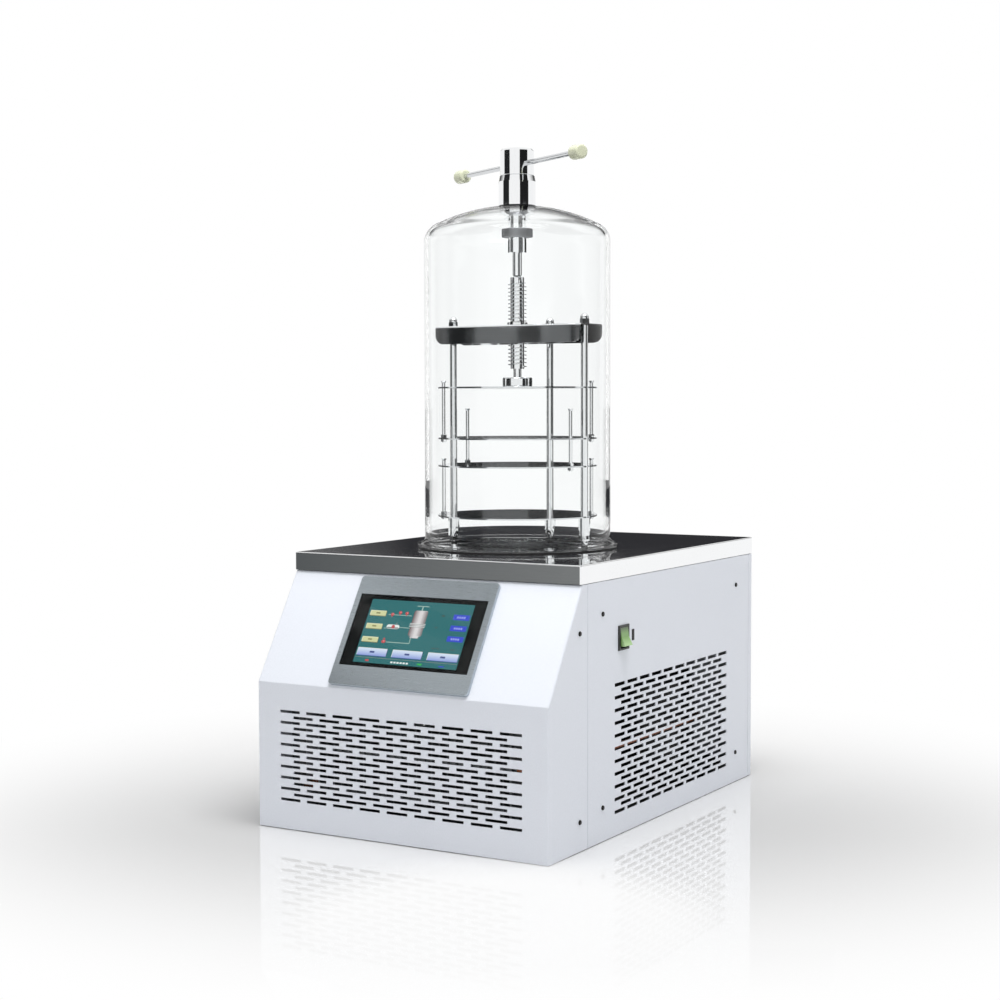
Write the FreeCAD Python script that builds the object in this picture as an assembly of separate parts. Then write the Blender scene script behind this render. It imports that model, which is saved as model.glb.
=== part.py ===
import FreeCAD, Part
import math
import os

# Bench-top freeze dryer with a stoppering press under a bell jar.
# Millimetres. X to the right, Y to the back, Z up. The origin is on the bench,
# midway along the width and along the depth with the vacuum port.

# ---- driving dimensions ------------------------------------------------------
body_width = 450.0
body_depth = 650.0
body_height = 368.0         # bench to the worktop's upper face
foot_gap = 1.0              # bench to the casing's lower edge
sheet = 1.5                 # casing and worktop sheet
bend_radius = 3.0           # outside radius of the casing's folds

front_rise = 198.5          # bench to the top of the upright front
slope_run = 89.2            # how far the sloping face goes back
worktop_edge = 24.7         # height of the worktop's folded edge
shadow_gap = 0.8            # casing to the worktop's edge
worktop_setback = 86.4      # worktop's front edge behind the casing's front
cover_depth = 104.3         # how far the front cover wraps round the sides
seam = 1.0                  # open seam between two covers
rear_wrap = 14.2            # how far the rear panel wraps round the sides
pan_wall = 22.0             # height of the base pan's folded walls

foot_radius = 18.0
foot_inset = 40.0
foot_stud_radius = 4.0
foot_stud_length = 8.0

post_width = 20.0
post_depth = 24.0
rail_width = 12.0
rail_depth = 15.0

screw_head_radius = 3.2
screw_head_height = 1.8
screw_radius = 1.75
screw_grip = 8.0            # thread inside the post, past the sheet
screw_low = 45.6
screw_high = 300.0
rear_screw_level = 240.0    # rear panel's upper screws, into the cross rail
wing_screw_high = 281.2
wing_screw_low = 39.0
side_screw_front = 146.5    # behind the casing's front
side_screw_rear = 586.0
wing_screw_back = 82.5

front_slot = (32.4, 3.9)    # length, height
front_slot_pitch = (42.8, 7.46)
front_slot_rows = 17
front_slot_count = 9        # in a long row, one fewer in a short one
front_slot_bottom = 41.0
side_slot = (31.4, 5.0)
side_slot_pitch = (37.8, 8.48)
side_slot_rows = 21
side_slot_count = 10
side_slot_bottom = 32.2
side_slot_front = 181.7     # first slot's end behind the casing's front

bezel_width = 216.0
bezel_height = 160.0
bezel_thickness = 5.0
bezel_radius = 5.0
bezel_low = 4.0             # bezel's lower edge, up the slope from the fold
glass_width = 199.0
glass_height = 105.0
glass_low = 32.2            # glass's lower edge, up the slope from the fold
glass_thickness = 2.0
glass_sunk = 0.3
module_width = 184.0
module_height = 96.0
module_depth = 28.0

switch_back = 206.2         # switch centre behind the casing's front
switch_level = 263.1
switch_frame = (30.4, 33.4)     # along Y, along Z
switch_frame_proud = 2.2
switch_body = (26.0, 30.0)
switch_body_depth = 24.0
switch_opening = (22.4, 28.4)
rocker_width = 21.6
rocker_half = 12.7          # half the rocker's height
rocker_tip = 5.5            # how far its ends stand from the pivot
rocker_dip = 3.5            # how far its middle stands from the pivot
rocker_tilt = 16.0          # degrees, lower end out
rocker_pin_radius = 1.5
pin_clearance = 0.08
plug_back = 235.4           # blanking plug centre behind the casing's front
plug_level = 263.5
plug_size = (6.0, 15.0)

# ---- chamber -----------------------------------------------------------------
chamber_back = 318.0        # chamber axis behind the casing's front
trap_radius = 86.0          # inside of the cold trap
trap_wall = 1.5
trap_depth = 176.0
trap_flange_radius = 100.0
trap_flange = 3.0
jacket_radius = 94.0
jacket_low = 206.0
jacket_high = 286.0
foam_radius = 124.0
foam_base = 22.0
foam_top = 352.0
soft_gap = 0.3              # a soft piece's distance from its neighbour

jar_radius = 133.0
jar_wall = 6.0
jar_apex = 855.0            # bench to the top of the dome
jar_crown_radius = 266.0
jar_knuckle_radius = 26.6
jar_lip_radius = 144.0
jar_lip = 4.0
jar_lip_fillet = 9.0
jar_foot_inner = 122.0
jar_foot_height = 14.0
seal_thickness = 2.0
seal_inner = 127.0
seal_outer = 142.5

# gland and handle, all on the chamber axis
gland_radius = 26.5
gland_flat = 853.6          # spot face on top of the dome
washer_thickness = 1.4
gland_top = 896.7
gland_shoulder = (1.6, 8.0)  # taper at the housing's top, in and down
stem_radius = 12.5
stem_low = 788.4
stem_foot_radius = 13.4
cone_radius = 25.0
cone_low = 840.6
lock_nut_radius = 22.2
lock_nut = (810.2, 822.8)
shaft_radius = 6.6
shaft_low = 700.0
shaft_clearance = 0.08
seal_ring_height = 4.0
boss_radius = 24.3
boss_top = 934.8
boss_gap = 0.3
bar_level = 912.8
bar_radius = 3.6
bar_reach = 157.5           # axis to the middle of a knob
bar_angle = -28.9           # degrees from +X
knob_radius = 10.0
knob_length = 22.0
knob_grip = 6.0             # bar end past the knob's middle

# press and rack
screw_outer_radius = 13.5
spindle_top = 754.0
spindle_low = 623.0
drive_flats = 11.0          # across the hexagon at the shaft's end
drive_clearance = 0.3
drive_length = 56.0
drive_socket = 58.0
neck_radius = 5.8
presser_radius = 21.5
presser_height = 13.7
presser_socket = 10.0
shelf_radius = 114.0
shelf_thickness = 2.0
shelf_levels = (597.0, 525.0, 486.0, 414.5)     # upper faces, top shelf first
column_radius = 5.0
column_side = 108.0         # axis to a side column
column_rear = 97.0          # axis to the rear column
column_clearance = 0.35
column_stud_radius = 4.0
foot_tip_height = 3.6
sleeve_radius = 8.25
sleeve_low = 380.0
bridge_length = 238.0
bridge_depth = 64.0
bridge_height = 26.0
bridge_top = 685.0
bridge_sheet = 2.5
bridge_corner = 13.0
tongue_width = 44.0
tongue_reach = 110.0        # chamber axis to the tongue's rear edge
bush_flange_radius = 20.0
bush_flange = 9.0
bush_collar_radius = 14.6
bush_collar = 4.0           # collar above the bridge
thread_clearance = 0.3
cap_nut_flats = 13.0
cap_nut_hex = 7.0
cap_nut_height = 14.5
cap_nut_bore = 7.0
link_radius = 2.5
link_hole_clearance = 0.5
link_circle = 106.0
link_circle_middle = 104.0
link_angle = 30.0           # the pairs that hold the two vial layers
link_angle_middle = -15.0   # the pair between them
link_above = 8.7            # link head above the upper shelf of its layer
link_above_middle = 41.0
link_below = 5.2            # link end below its own shelf
link_head_radius = 3.9
link_head_height = 3.0
link_nut_flats = 8.0
link_nut_height = 4.0

# machinery
condenser_size = (300.0, 40.0, 150.0)
condenser_back = 36.0       # behind the casing's front
fan_radius = 66.0
fan_hub_radius = 20.0
fan_blades = 5
fan_blade_depth = 16.0
fan_tip_gap = 3.0
fan_shaft_radius = 3.0
shroud_depth = 24.0
motor_radius = 26.0
motor_length = 40.0
motor_gap = 1.0
compressor_place = (95.0, 540.0)     # x, behind the casing's front
compressor_radius = 74.0
compressor_height = 165.0
compressor_plate = 3.0
grommet_height = 8.0
grommet_radius = 10.0
control_box_size = (90.0, 170.0, 120.0)
control_box_place = (-205.0, 385.0)  # left side, front side behind the casing's front
port_radius = 14.0
port_bore = 12.5
port_level = 318.0
port_x = -30.0
port_reach = 28.0           # past the rear panel
drain_radius = 6.0
drain_bore = 4.0
drain_level = 60.0
drain_bend = 22.0
drain_reach = 18.0
drain_joint = 40.0          # joint of elbow and outlet, in front of the casing's rear
drain_cap_length = 14.0
inlet_size = (48.0, 28.0)
inlet_depth = 26.0
inlet_place = (-150.0, 70.0)
inlet_flange = 2.0
pipe_radius = 4.0
pipe_bend = 18.0

# ---- levels worked out from them -----------------------------------------------
half_w = body_width / 2
front_y = -(body_depth + port_reach) / 2
rear_y = front_y + body_depth
inner_w = half_w - sheet
worktop_low = body_height - worktop_edge
casing_top = worktop_low - shadow_gap
worktop_under = body_height - sheet
worktop_front = front_y + worktop_setback
slope_top_y = front_y + slope_run
cover_rear = front_y + cover_depth
panel_front = cover_rear + seam
panel_rear = rear_y - rear_wrap - seam
pan_floor = foot_gap + sheet
axis_y = front_y + chamber_back
seal_top = body_height + seal_thickness


def vec(x, y, z):
    return FreeCAD.Vector(x, y, z)


def box(x0, y0, z0, x1, y1, z1):
    return Part.makeBox(x1 - x0, y1 - y0, z1 - z0, vec(x0, y0, z0))


def rod(radius, z0, z1, x=0.0, y=axis_y):
    """Upright cylinder."""
    return Part.makeCylinder(radius, z1 - z0, vec(x, y, z0), vec(0, 0, 1))


def rod_between(radius, start, end):
    """Cylinder from one point to another."""
    along = end.sub(start)
    return Part.makeCylinder(radius, along.Length, start, along)


def tube(outer, inner, z0, z1, x=0.0, y=axis_y):
    return rod(outer, z0, z1, x, y).cut(rod(inner, z0, z1, x, y))


def hexagon(flats, z0, z1, x=0.0, y=axis_y):
    """Upright hexagonal prism, given its size across flats."""
    corner = flats / math.sqrt(3)
    points = []
    for k in range(7):
        a = math.radians(60 * k)
        points.append(vec(x + corner * math.cos(a), y + corner * math.sin(a), z0))
    return Part.Face(Part.makePolygon(points)).extrude(vec(0, 0, z1 - z0))


def turned(edges, x=0.0, y=axis_y):
    """Solid of revolution about an upright axis, from edges in the XZ plane."""
    face = Part.Face(Part.Wire(edges))
    solid = face.revolve(vec(0, 0, 0), vec(0, 0, 1), 360)
    solid.translate(vec(x, y, 0))
    return solid


def line(a, b):
    return Part.makeLine(vec(a[0], 0, a[1]), vec(b[0], 0, b[1]))


def arc(a, centre, radius, mid_angle, b):
    """Arc in the XZ plane from a to b, through the angle given in degrees."""
    m = math.radians(mid_angle)
    mid = vec(centre[0] + radius * math.cos(m), 0, centre[1] + radius * math.sin(m))
    return Part.Arc(vec(a[0], 0, a[1]), mid, vec(b[0], 0, b[1])).toShape()


def outline(points):
    """Closed edges in the XZ plane through the points."""
    return [line(points[i], points[(i + 1) % len(points)]) for i in range(len(points))]


def side_profile(points, x0, x1):
    """Prism along X with the outline given as (y, z) points."""
    wire = Part.makePolygon([vec(x0, y, z) for y, z in points + [points[0]]])
    return Part.Face(wire).extrude(vec(x1 - x0, 0, 0))


def edges_where(solid, test):
    return [e for e in solid.Edges if test(e)]


def spans(edge):
    """Edge's box as lowest and highest corners."""
    b = edge.BoundBox
    return (b.XMin, b.YMin, b.ZMin), (b.XMax, b.YMax, b.ZMax)


def is_upright(edge):
    low, high = spans(edge)
    return high[2] - low[2] > 0.9 * edge.Length


def pipe(points, radius, bend):
    """Round pipe along straight runs joined by tangent arcs of one radius."""
    edges = []
    start = points[0]
    for i in range(1, len(points) - 1):
        before = points[i].sub(points[i - 1]).normalize()
        after = points[i + 1].sub(points[i]).normalize()
        turn = math.acos(max(-1.0, min(1.0, before.dot(after))))
        back = bend * math.tan(turn / 2)
        p0 = points[i].sub(vec(before.x * back, before.y * back, before.z * back))
        p1 = points[i].add(vec(after.x * back, after.y * back, after.z * back))
        inward = after.sub(before).normalize()
        reach = bend / math.cos(turn / 2) - bend
        mid = points[i].add(vec(inward.x * reach, inward.y * reach, inward.z * reach))
        edges.append(Part.makeLine(start, p0))
        edges.append(Part.Arc(p0, mid, p1).toShape())
        start = p1
    edges.append(Part.makeLine(start, points[-1]))
    path = Part.Wire(edges)
    ring = Part.Wire([Part.makeCircle(radius, points[0], points[1].sub(points[0]))])
    return path.makePipeShell([ring], True, False)


# ---- casing --------------------------------------------------------------------
def casing_outline(inset, low):
    """(y, z) outline of the front cover, moved inward by inset."""
    rise = casing_top - front_rise
    tilt = math.hypot(slope_run, rise)
    # the sloping line, moved inward along its normal
    shift = inset * tilt / rise
    y_front = front_y + inset
    z_fold = front_rise + (y_front - (front_y + shift)) * rise / slope_run
    z_top = casing_top - inset
    y_top = slope_top_y + shift - inset * slope_run / rise
    return [(y_front, low), (y_front, z_fold), (y_top, z_top), (cover_rear, z_top),
            (cover_rear, low)]


def rounded_cover(inset, low, radius):
    solid = side_profile(casing_outline(inset, low), -half_w + inset, half_w - inset)
    wanted = []
    for edge in solid.Edges:
        first, last = spans(edge)
        at_side = abs(abs(first[0]) - (half_w - inset)) < 0.01 and abs(first[0] - last[0]) < 0.01
        on_front = last[1] < slope_top_y + inset + 0.5 and last[2] > low + 1.0
        fold = last[0] - first[0] > half_w and on_front
        if fold or (at_side and on_front and edge.Length > 2 * radius):
            wanted.append(edge)
    return solid.makeFillet(radius, wanted)


def slot_grid(slot, pitch, rows, count, first_z, centre, along_x):
    """Staggered rows of square-ended slots; a long row has count, a short one a slot fewer."""
    pattern = box(-slot[0] / 2, -5, -slot[1] / 2, slot[0] / 2, 5, slot[1] / 2)
    if not along_x:
        pattern.rotate(vec(0, 0, 0), vec(0, 0, 1), 90)
    cutters = []
    for row in range(rows):
        n = count if row % 2 == 0 else count - 1
        z = first_z + row * pitch[1]
        for k in range(n):
            at = centre + (k - (n - 1) / 2) * pitch[0]
            cutter = pattern.copy()
            cutter.translate(vec(at, 0, z) if along_x else vec(0, at, z))
            cutters.append(cutter)
    return cutters


def moved(shapes, offset):
    for shape in shapes:
        shape.translate(offset)
    return shapes


def slope_frame(shape):
    """Lay a shape modelled with x across, y up the slope, z outward onto the slope."""
    tilt = math.degrees(math.atan2(casing_top - front_rise, slope_run))
    shape.rotate(vec(0, 0, 0), vec(1, 0, 0), tilt)
    shape.translate(vec(0, front_y, front_rise))
    return shape


def front_cover():
    outer = rounded_cover(0.0, foot_gap, bend_radius)
    inner = rounded_cover(sheet, foot_gap - 1.0, bend_radius - sheet)
    inner_back = box(-inner_w, cover_rear - 2 * sheet, foot_gap - 1, inner_w, cover_rear + 1,
                     casing_top - sheet)
    shell = outer.cut(inner.fuse(inner_back))
    slots = slot_grid(front_slot, front_slot_pitch, front_slot_rows, front_slot_count,
                      front_slot_bottom, 0.0, True)
    shell = shell.cut(moved(slots, vec(0, front_y, 0)))
    window = box(-module_width / 2 - 1, module_low() - 1, -10,
                 module_width / 2 + 1, module_low() + module_height + 1, 10)
    return shell.cut([slope_frame(window)] + screw_holes())


def module_low():
    return glass_low + (glass_height - module_height) / 2


def side_panel(side):
    x0, x1 = (inner_w, half_w) if side > 0 else (-half_w, -inner_w)
    panel = box(x0, panel_front, foot_gap, x1, panel_rear, casing_top)
    middle = front_y + side_slot_front + side_slot[0] / 2
    middle += (side_slot_count - 1) * side_slot_pitch[0] / 2
    slots = slot_grid(side_slot, side_slot_pitch, side_slot_rows, side_slot_count,
                      side_slot_bottom, middle, False)
    panel = panel.cut(moved(slots, vec(side * half_w, 0, 0)))
    if side > 0:
        panel = panel.cut([switch_cutout(), plug_hole()])
    return panel.cut(screw_holes())


def rear_panel():
    outer = box(-half_w, rear_y - rear_wrap, foot_gap, half_w, rear_y, casing_top)
    corners = edges_where(outer, lambda e: is_upright(e) and spans(e)[0][1] > rear_y - 1)
    outer = outer.makeFillet(bend_radius, corners)
    inner = box(-inner_w, rear_y - rear_wrap - 1, foot_gap - 1, inner_w, rear_y - sheet,
                casing_top + 1)
    x, z = inlet_place
    cutout = box(x - inlet_size[0] / 2, rear_y - 5, z - inlet_size[1] / 2,
                 x + inlet_size[0] / 2, rear_y + 5, z + inlet_size[1] / 2)
    pipe_hole = rod_between(port_radius + soft_gap, vec(port_x, rear_y - 9, port_level),
                            vec(port_x, rear_y + 9, port_level))
    drain_hole = rod_between(drain_radius + soft_gap, vec(0, rear_y - 9, drain_level),
                             vec(0, rear_y + 9, drain_level))
    return outer.cut([inner, cutout, pipe_hole, drain_hole] + screw_holes())


def base_pan():
    top = pan_floor + pan_wall
    outer = box(-inner_w, front_y + sheet, foot_gap, inner_w, rear_y - sheet, top)
    corners = edges_where(outer, is_upright)
    outer = outer.makeFillet(bend_radius, corners)
    inner = box(-inner_w + sheet, front_y + 2 * sheet, pan_floor, inner_w - sheet,
                rear_y - 2 * sheet, top + 1)
    studs = [rod(foot_stud_radius, 0, 20, x, y) for x, y in foot_places()]
    return outer.cut([inner] + studs + screw_holes())


def foot_places():
    x = half_w - foot_inset
    front, rear = front_y + foot_inset, rear_y - foot_inset
    return [(-x, front), (x, front), (-x, rear), (x, rear)]


def foot(place):
    pad = rod(foot_radius, 0, foot_gap, *place)
    return pad.fuse(rod(foot_stud_radius, 0, foot_gap + foot_stud_length, *place))


def post_places():
    """Lower left corners of the four posts."""
    front = front_y + side_screw_front - post_depth / 2
    rear = front_y + side_screw_rear - post_depth / 2
    return [(x, y) for x in (-inner_w, inner_w - post_width) for y in (front, rear)]


def post(place):
    """Open channel that carries the worktop; its web backs the side panel's screws."""
    x, y = place
    solid = box(x, y, pan_floor, x + post_width, y + post_depth, worktop_under)
    wall = 2 * sheet
    # it steps in beside the pan's wall
    notch_x = x if x < 0 else x + post_width - sheet
    notch = box(notch_x, y - 1, pan_floor - 1, notch_x + sheet, y + post_depth + 1,
                pan_floor + pan_wall)
    open_x = x + wall if x < 0 else x - 1
    hollow = box(open_x, y + wall, pan_floor + wall, open_x + post_width - wall + 1,
                 y + post_depth - wall, worktop_under - wall)
    return solid.cut([notch, hollow] + screw_holes())


def cover_rail(side):
    """Upright strip that the front cover's wing is screwed to."""
    x0 = inner_w - rail_width if side > 0 else -inner_w
    y = front_y + wing_screw_back
    rail = box(x0, y - rail_depth / 2, pan_floor, x0 + rail_width, y + rail_depth / 2,
               wing_screw_high + rail_depth)
    notch_x = inner_w - sheet if side > 0 else -inner_w
    notch = box(notch_x, y - rail_depth, pan_floor - 1, notch_x + sheet, y + rail_depth,
                pan_floor + pan_wall)
    return rail.cut([notch] + screw_holes())


def rear_rail():
    """Cross rail between the rear corners, behind the rear panel's upper screws."""
    y1 = rear_y - sheet
    rail = box(-inner_w, y1 - rail_depth, rear_screw_level - rail_width, inner_w, y1,
               rear_screw_level + rail_width)
    return rail.cut(screw_holes())


def screw_places():
    """Point on the cover's face and outward direction of every cover screw."""
    places = []
    for side in (-1, 1):
        for back in (side_screw_front, side_screw_rear):
            for z in (screw_low, screw_high):
                places.append((vec(side * half_w, front_y + back, z), vec(side, 0, 0)))
        for z in (wing_screw_low, wing_screw_high):
            places.append((vec(side * half_w, front_y + wing_screw_back, z), vec(side, 0, 0)))
        places.append((vec(side * (half_w - foot_inset), rear_y, rear_screw_level),
                       vec(0, 1, 0)))
        places.append((vec(side * (half_w - foot_inset), rear_y, pan_floor + pan_wall / 2),
                       vec(0, 1, 0)))
    return places


def shank_length(place, out):
    low = out.y > 0.5 and place.z < screw_low
    return 2 * sheet if low else sheet + screw_grip


def screw_holes():
    holes = []
    for place, out in screw_places():
        length = shank_length(place, out)
        start = place.sub(vec(out.x * length, out.y * length, out.z * length))
        holes.append(Part.makeCylinder(screw_radius, length + 1, start, out))
    return holes


def cover_screws():
    """Pan-head screws of all the covers, as separate solids."""
    screws = []
    for place, out in screw_places():
        length = shank_length(place, out)
        start = place.sub(vec(out.x * length, out.y * length, out.z * length))
        shank = Part.makeCylinder(screw_radius, length + 0.5, start, out)
        head = Part.makeCylinder(screw_head_radius, screw_head_height, place, out)
        tip = place.add(vec(out.x, out.y, out.z).multiply(screw_head_height))
        rim = edges_where(head, lambda e: e.Curve.TypeId == "Part::GeomCircle"
                          and e.Curve.Center.distanceToPoint(tip) < 0.01)
        head = head.makeFillet(0.6 * screw_head_height, rim)
        screws.append(head.fuse(shank))
    return Part.makeCompound(screws)


def worktop():
    outer = box(-half_w, worktop_front, worktop_low, half_w, rear_y, body_height)
    top_and_corners = edges_where(outer, lambda e: spans(e)[0][2] > body_height - 1
                                  or is_upright(e))
    outer = outer.makeFillet(2.0, top_and_corners)
    inner = box(-inner_w, worktop_front + sheet, worktop_low - 1, inner_w, rear_y - sheet,
                worktop_under)
    return outer.cut([inner, rod(trap_radius, worktop_low, body_height + 1)])


# ---- screen on the sloping face ---------------------------------------------------
def slope_plate(width, height, low, z0, z1, radius):
    plate = box(-width / 2, low, z0, width / 2, low + height, z1)
    return plate.makeFillet(radius, edges_where(plate, is_upright))


def screen_bezel():
    plate = slope_plate(bezel_width, bezel_height, bezel_low, 0, bezel_thickness, bezel_radius)
    top = edges_where(plate, lambda e: spans(e)[0][2] > bezel_thickness - 0.01)
    plate = plate.makeFillet(0.8, top)
    recess = box(-glass_width / 2, glass_low, glass_bed(), glass_width / 2,
                 glass_low + glass_height, bezel_thickness + 1)
    window = box(-module_width / 2, module_low(), -1, module_width / 2,
                 module_low() + module_height, bezel_thickness + 1)
    return slope_frame(plate.cut([recess, window]))


def glass_bed():
    """Height of the glass's back over the sloping face."""
    return bezel_thickness - glass_sunk - glass_thickness


def screen_glass():
    return slope_frame(box(-glass_width / 2, glass_low, glass_bed(), glass_width / 2,
                           glass_low + glass_height, glass_bed() + glass_thickness))


def display_module():
    """Controller behind the glass, through the cover's window."""
    return slope_frame(box(-module_width / 2, module_low(), -module_depth,
                           module_width / 2, module_low() + module_height, glass_bed()))


# ---- power switch ------------------------------------------------------------------
def switch_box(size, x0, x1):
    y = front_y + switch_back
    return box(x0, y - size[0] / 2, switch_level - size[1] / 2,
               x1, y + size[0] / 2, switch_level + size[1] / 2)


def switch_cutout():
    return switch_box(switch_body, half_w - 5, half_w + 5)


def switch_housing():
    flange = switch_box(switch_frame, half_w, half_w + switch_frame_proud)
    flange = flange.makeFillet(0.8, edges_where(
        flange, lambda e: spans(e)[0][0] > half_w + switch_frame_proud - 0.01))
    body = switch_box(switch_body, half_w - switch_body_depth, half_w + 0.5)
    hollow = switch_box(switch_opening, half_w - switch_body_depth + 2,
                        half_w + switch_frame_proud + 1)
    return flange.fuse(body).cut([hollow, rocker_pin(rocker_pin_radius + pin_clearance, 0.5)])


def rocker_pin(radius, short):
    """Pin across the housing, its ends short of the housing's outer faces."""
    y = front_y + switch_back
    half = switch_body[0] / 2 - short
    return rod_between(radius, vec(half_w, y - half, switch_level),
                       vec(half_w, y + half, switch_level))


def power_rocker():
    """Rocker with a shallow V face, on two stub pins, lower end out."""
    y0 = front_y + switch_back - rocker_width / 2
    points = [(rocker_tip, -rocker_half), (rocker_dip, 0), (rocker_tip, rocker_half),
              (0.5, rocker_half - 0.8), (-6.0, 8.0), (-6.0, -8.0), (0.5, -rocker_half + 0.8)]
    corners = [vec(half_w + x, y0, switch_level + z) for x, z in points + [points[0]]]
    rocker = Part.Face(Part.makePolygon(corners)).extrude(vec(0, rocker_width, 0))
    rocker = rocker.fuse(rocker_pin(rocker_pin_radius, 0.5 + pin_clearance))
    y = front_y + switch_back
    rocker.rotate(vec(half_w, y, switch_level), vec(0, 1, 0), -rocker_tilt)
    return rocker


def plug_hole():
    y = front_y + plug_back
    return box(half_w - 5, y - plug_size[0] / 2 + 1, plug_level - plug_size[1] / 2 + 1,
               half_w + 5, y + plug_size[0] / 2 - 1, plug_level + plug_size[1] / 2 - 1)


def blanking_plug():
    """Narrow plug beside the switch."""
    y = front_y + plug_back
    head = box(half_w, y - plug_size[0] / 2, plug_level - plug_size[1] / 2,
               half_w + 1.0, y + plug_size[0] / 2, plug_level + plug_size[1] / 2)
    head = head.makeFillet(0.5, edges_where(head, lambda e: spans(e)[0][0] > half_w + 0.9))
    body = box(half_w - 6, y - plug_size[0] / 2 + 1, plug_level - plug_size[1] / 2 + 1,
               half_w + 0.5, y + plug_size[0] / 2 - 1, plug_level + plug_size[1] / 2 - 1)
    return head.fuse(body)


# ---- cold trap -----------------------------------------------------------------------
def cold_trap():
    low = worktop_under - trap_depth
    outer_r = trap_radius + trap_wall
    shape = tube(outer_r, trap_radius, low, worktop_under)
    shape = shape.fuse([rod(outer_r, low - trap_wall, low),
                        tube(trap_flange_radius, trap_radius, worktop_under - trap_flange,
                             worktop_under)])
    return shape.cut([port_channel(port_bore), rod(drain_bore, low - 9, low + 9)])


def cooling_jacket():
    return tube(jacket_radius, trap_radius + trap_wall, jacket_low, jacket_high)


def trap_foam():
    low = worktop_under - trap_depth - trap_wall
    outer = rod(foam_radius, low - foam_base, foam_top)
    inner = rod(jacket_radius, low, foam_top + 1)
    holes = [port_channel(port_radius + soft_gap), rod(drain_radius + soft_gap, low - 99, low)]
    holes += [pipe(route, pipe_radius + soft_gap, pipe_bend)
              for route in (suction_route(), liquid_route())]
    return outer.cut([inner] + holes)


def port_channel(radius):
    """Straight way from the trap's wall to past the rear panel."""
    return rod_between(radius, vec(port_x, axis_y + trap_radius - 30, port_level),
                       vec(port_x, rear_y + port_reach, port_level))


def vacuum_port():
    """Pump connection: a pipe from the trap out through the rear panel."""
    inside = rod(trap_radius + trap_wall, jacket_high, worktop_under)
    solid = port_channel(port_radius).cut([port_channel(port_bore), inside])
    ring = rod_between(port_radius + 4, vec(port_x, rear_y, port_level),
                       vec(port_x, rear_y + 2.5, port_level))
    return solid.fuse(ring.cut(port_channel(port_radius - 0.5)))


def drain_route(end):
    low = worktop_under - trap_depth - trap_wall
    return [vec(0, axis_y, low), vec(0, axis_y, drain_level), vec(0, end, drain_level)]


def drain_elbow():
    """Drain from under the trap, bent towards the rear, up to the outlet's joint."""
    route = drain_route(rear_y - drain_joint)
    return pipe(route, drain_radius, drain_bend).cut(pipe(route, drain_bore, drain_bend))


def drain_pipe():
    """Straight outlet of the drain, through the rear panel."""
    start = vec(0, rear_y - drain_joint, drain_level)
    end = vec(0, rear_y + drain_reach, drain_level)
    return rod_between(drain_radius, start, end).cut(rod_between(drain_bore, start, end))


def drain_cap():
    """Push-on cap over the drain pipe's end."""
    end = rear_y + drain_reach
    outer = rod_between(drain_radius + 2, vec(0, end - drain_cap_length + 2, drain_level),
                        vec(0, end + 2, drain_level))
    inner = rod_between(drain_radius, vec(0, rear_y - 5, drain_level),
                        vec(0, end, drain_level))
    return outer.cut(inner)


# ---- refrigeration ------------------------------------------------------------------
def compressor_floor():
    return pan_floor + grommet_height


def compressor():
    """Welded shell with domed ends on its base plate."""
    x, y = compressor_place[0], front_y + compressor_place[1]
    z0 = compressor_floor() + compressor_plate
    shell = rod(compressor_radius, z0, z0 + compressor_height, x, y)
    rims = edges_where(shell, lambda e: e.Curve.TypeId == "Part::GeomCircle")
    shell = shell.makeFillet(28.0, rims)
    waist = rod(compressor_radius + 4, z0 + 88, z0 + 94, x, y)
    plate = box(x - 78, y - 60, compressor_floor(), x + 78, y + 60, z0 + 0.5)
    plate = plate.makeFillet(12.0, edges_where(plate, is_upright))
    studs = [rod(4.2, 0, 60, gx, gy) for gx, gy in grommet_places()]
    return shell.fuse([waist, plate]).cut(studs)


def grommet_places():
    x, y = compressor_place[0], front_y + compressor_place[1]
    return [(x + sx * 66, y + sy * 48) for sx in (-1, 1) for sy in (-1, 1)]


def compressor_grommets():
    """Rubber mounts under the compressor's plate, as separate solids."""
    return Part.makeCompound([rod(grommet_radius, pan_floor, compressor_floor(), x, y)
                              for x, y in grommet_places()])


def condenser():
    """Finned block: end plates, fins and three rows of tubes in one brazed piece."""
    w, d, h = condenser_size
    y0 = front_y + condenser_back
    parts = [box(s * w / 2 - 1.5, y0, pan_floor, s * w / 2 + 1.5, y0 + d, pan_floor + h)
             for s in (-1, 1)]
    for k in range(24):
        x = -w / 2 + (k + 1) * w / 25
        parts.append(box(x - 0.5, y0 + 2, pan_floor + 6, x + 0.5, y0 + d - 2, pan_floor + h - 4))
    for row in range(5):
        for column in range(2):
            z = pan_floor + 20 + row * 28
            y = y0 + 10 + column * 20
            parts.append(rod_between(4.0, vec(-w / 2 - 6, y, z), vec(w / 2 + 6, y, z)))
    return parts[0].fuse(parts[1:])


def fan_place():
    w, d, h = condenser_size
    return front_y + condenser_back + d, pan_floor + h / 2


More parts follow.
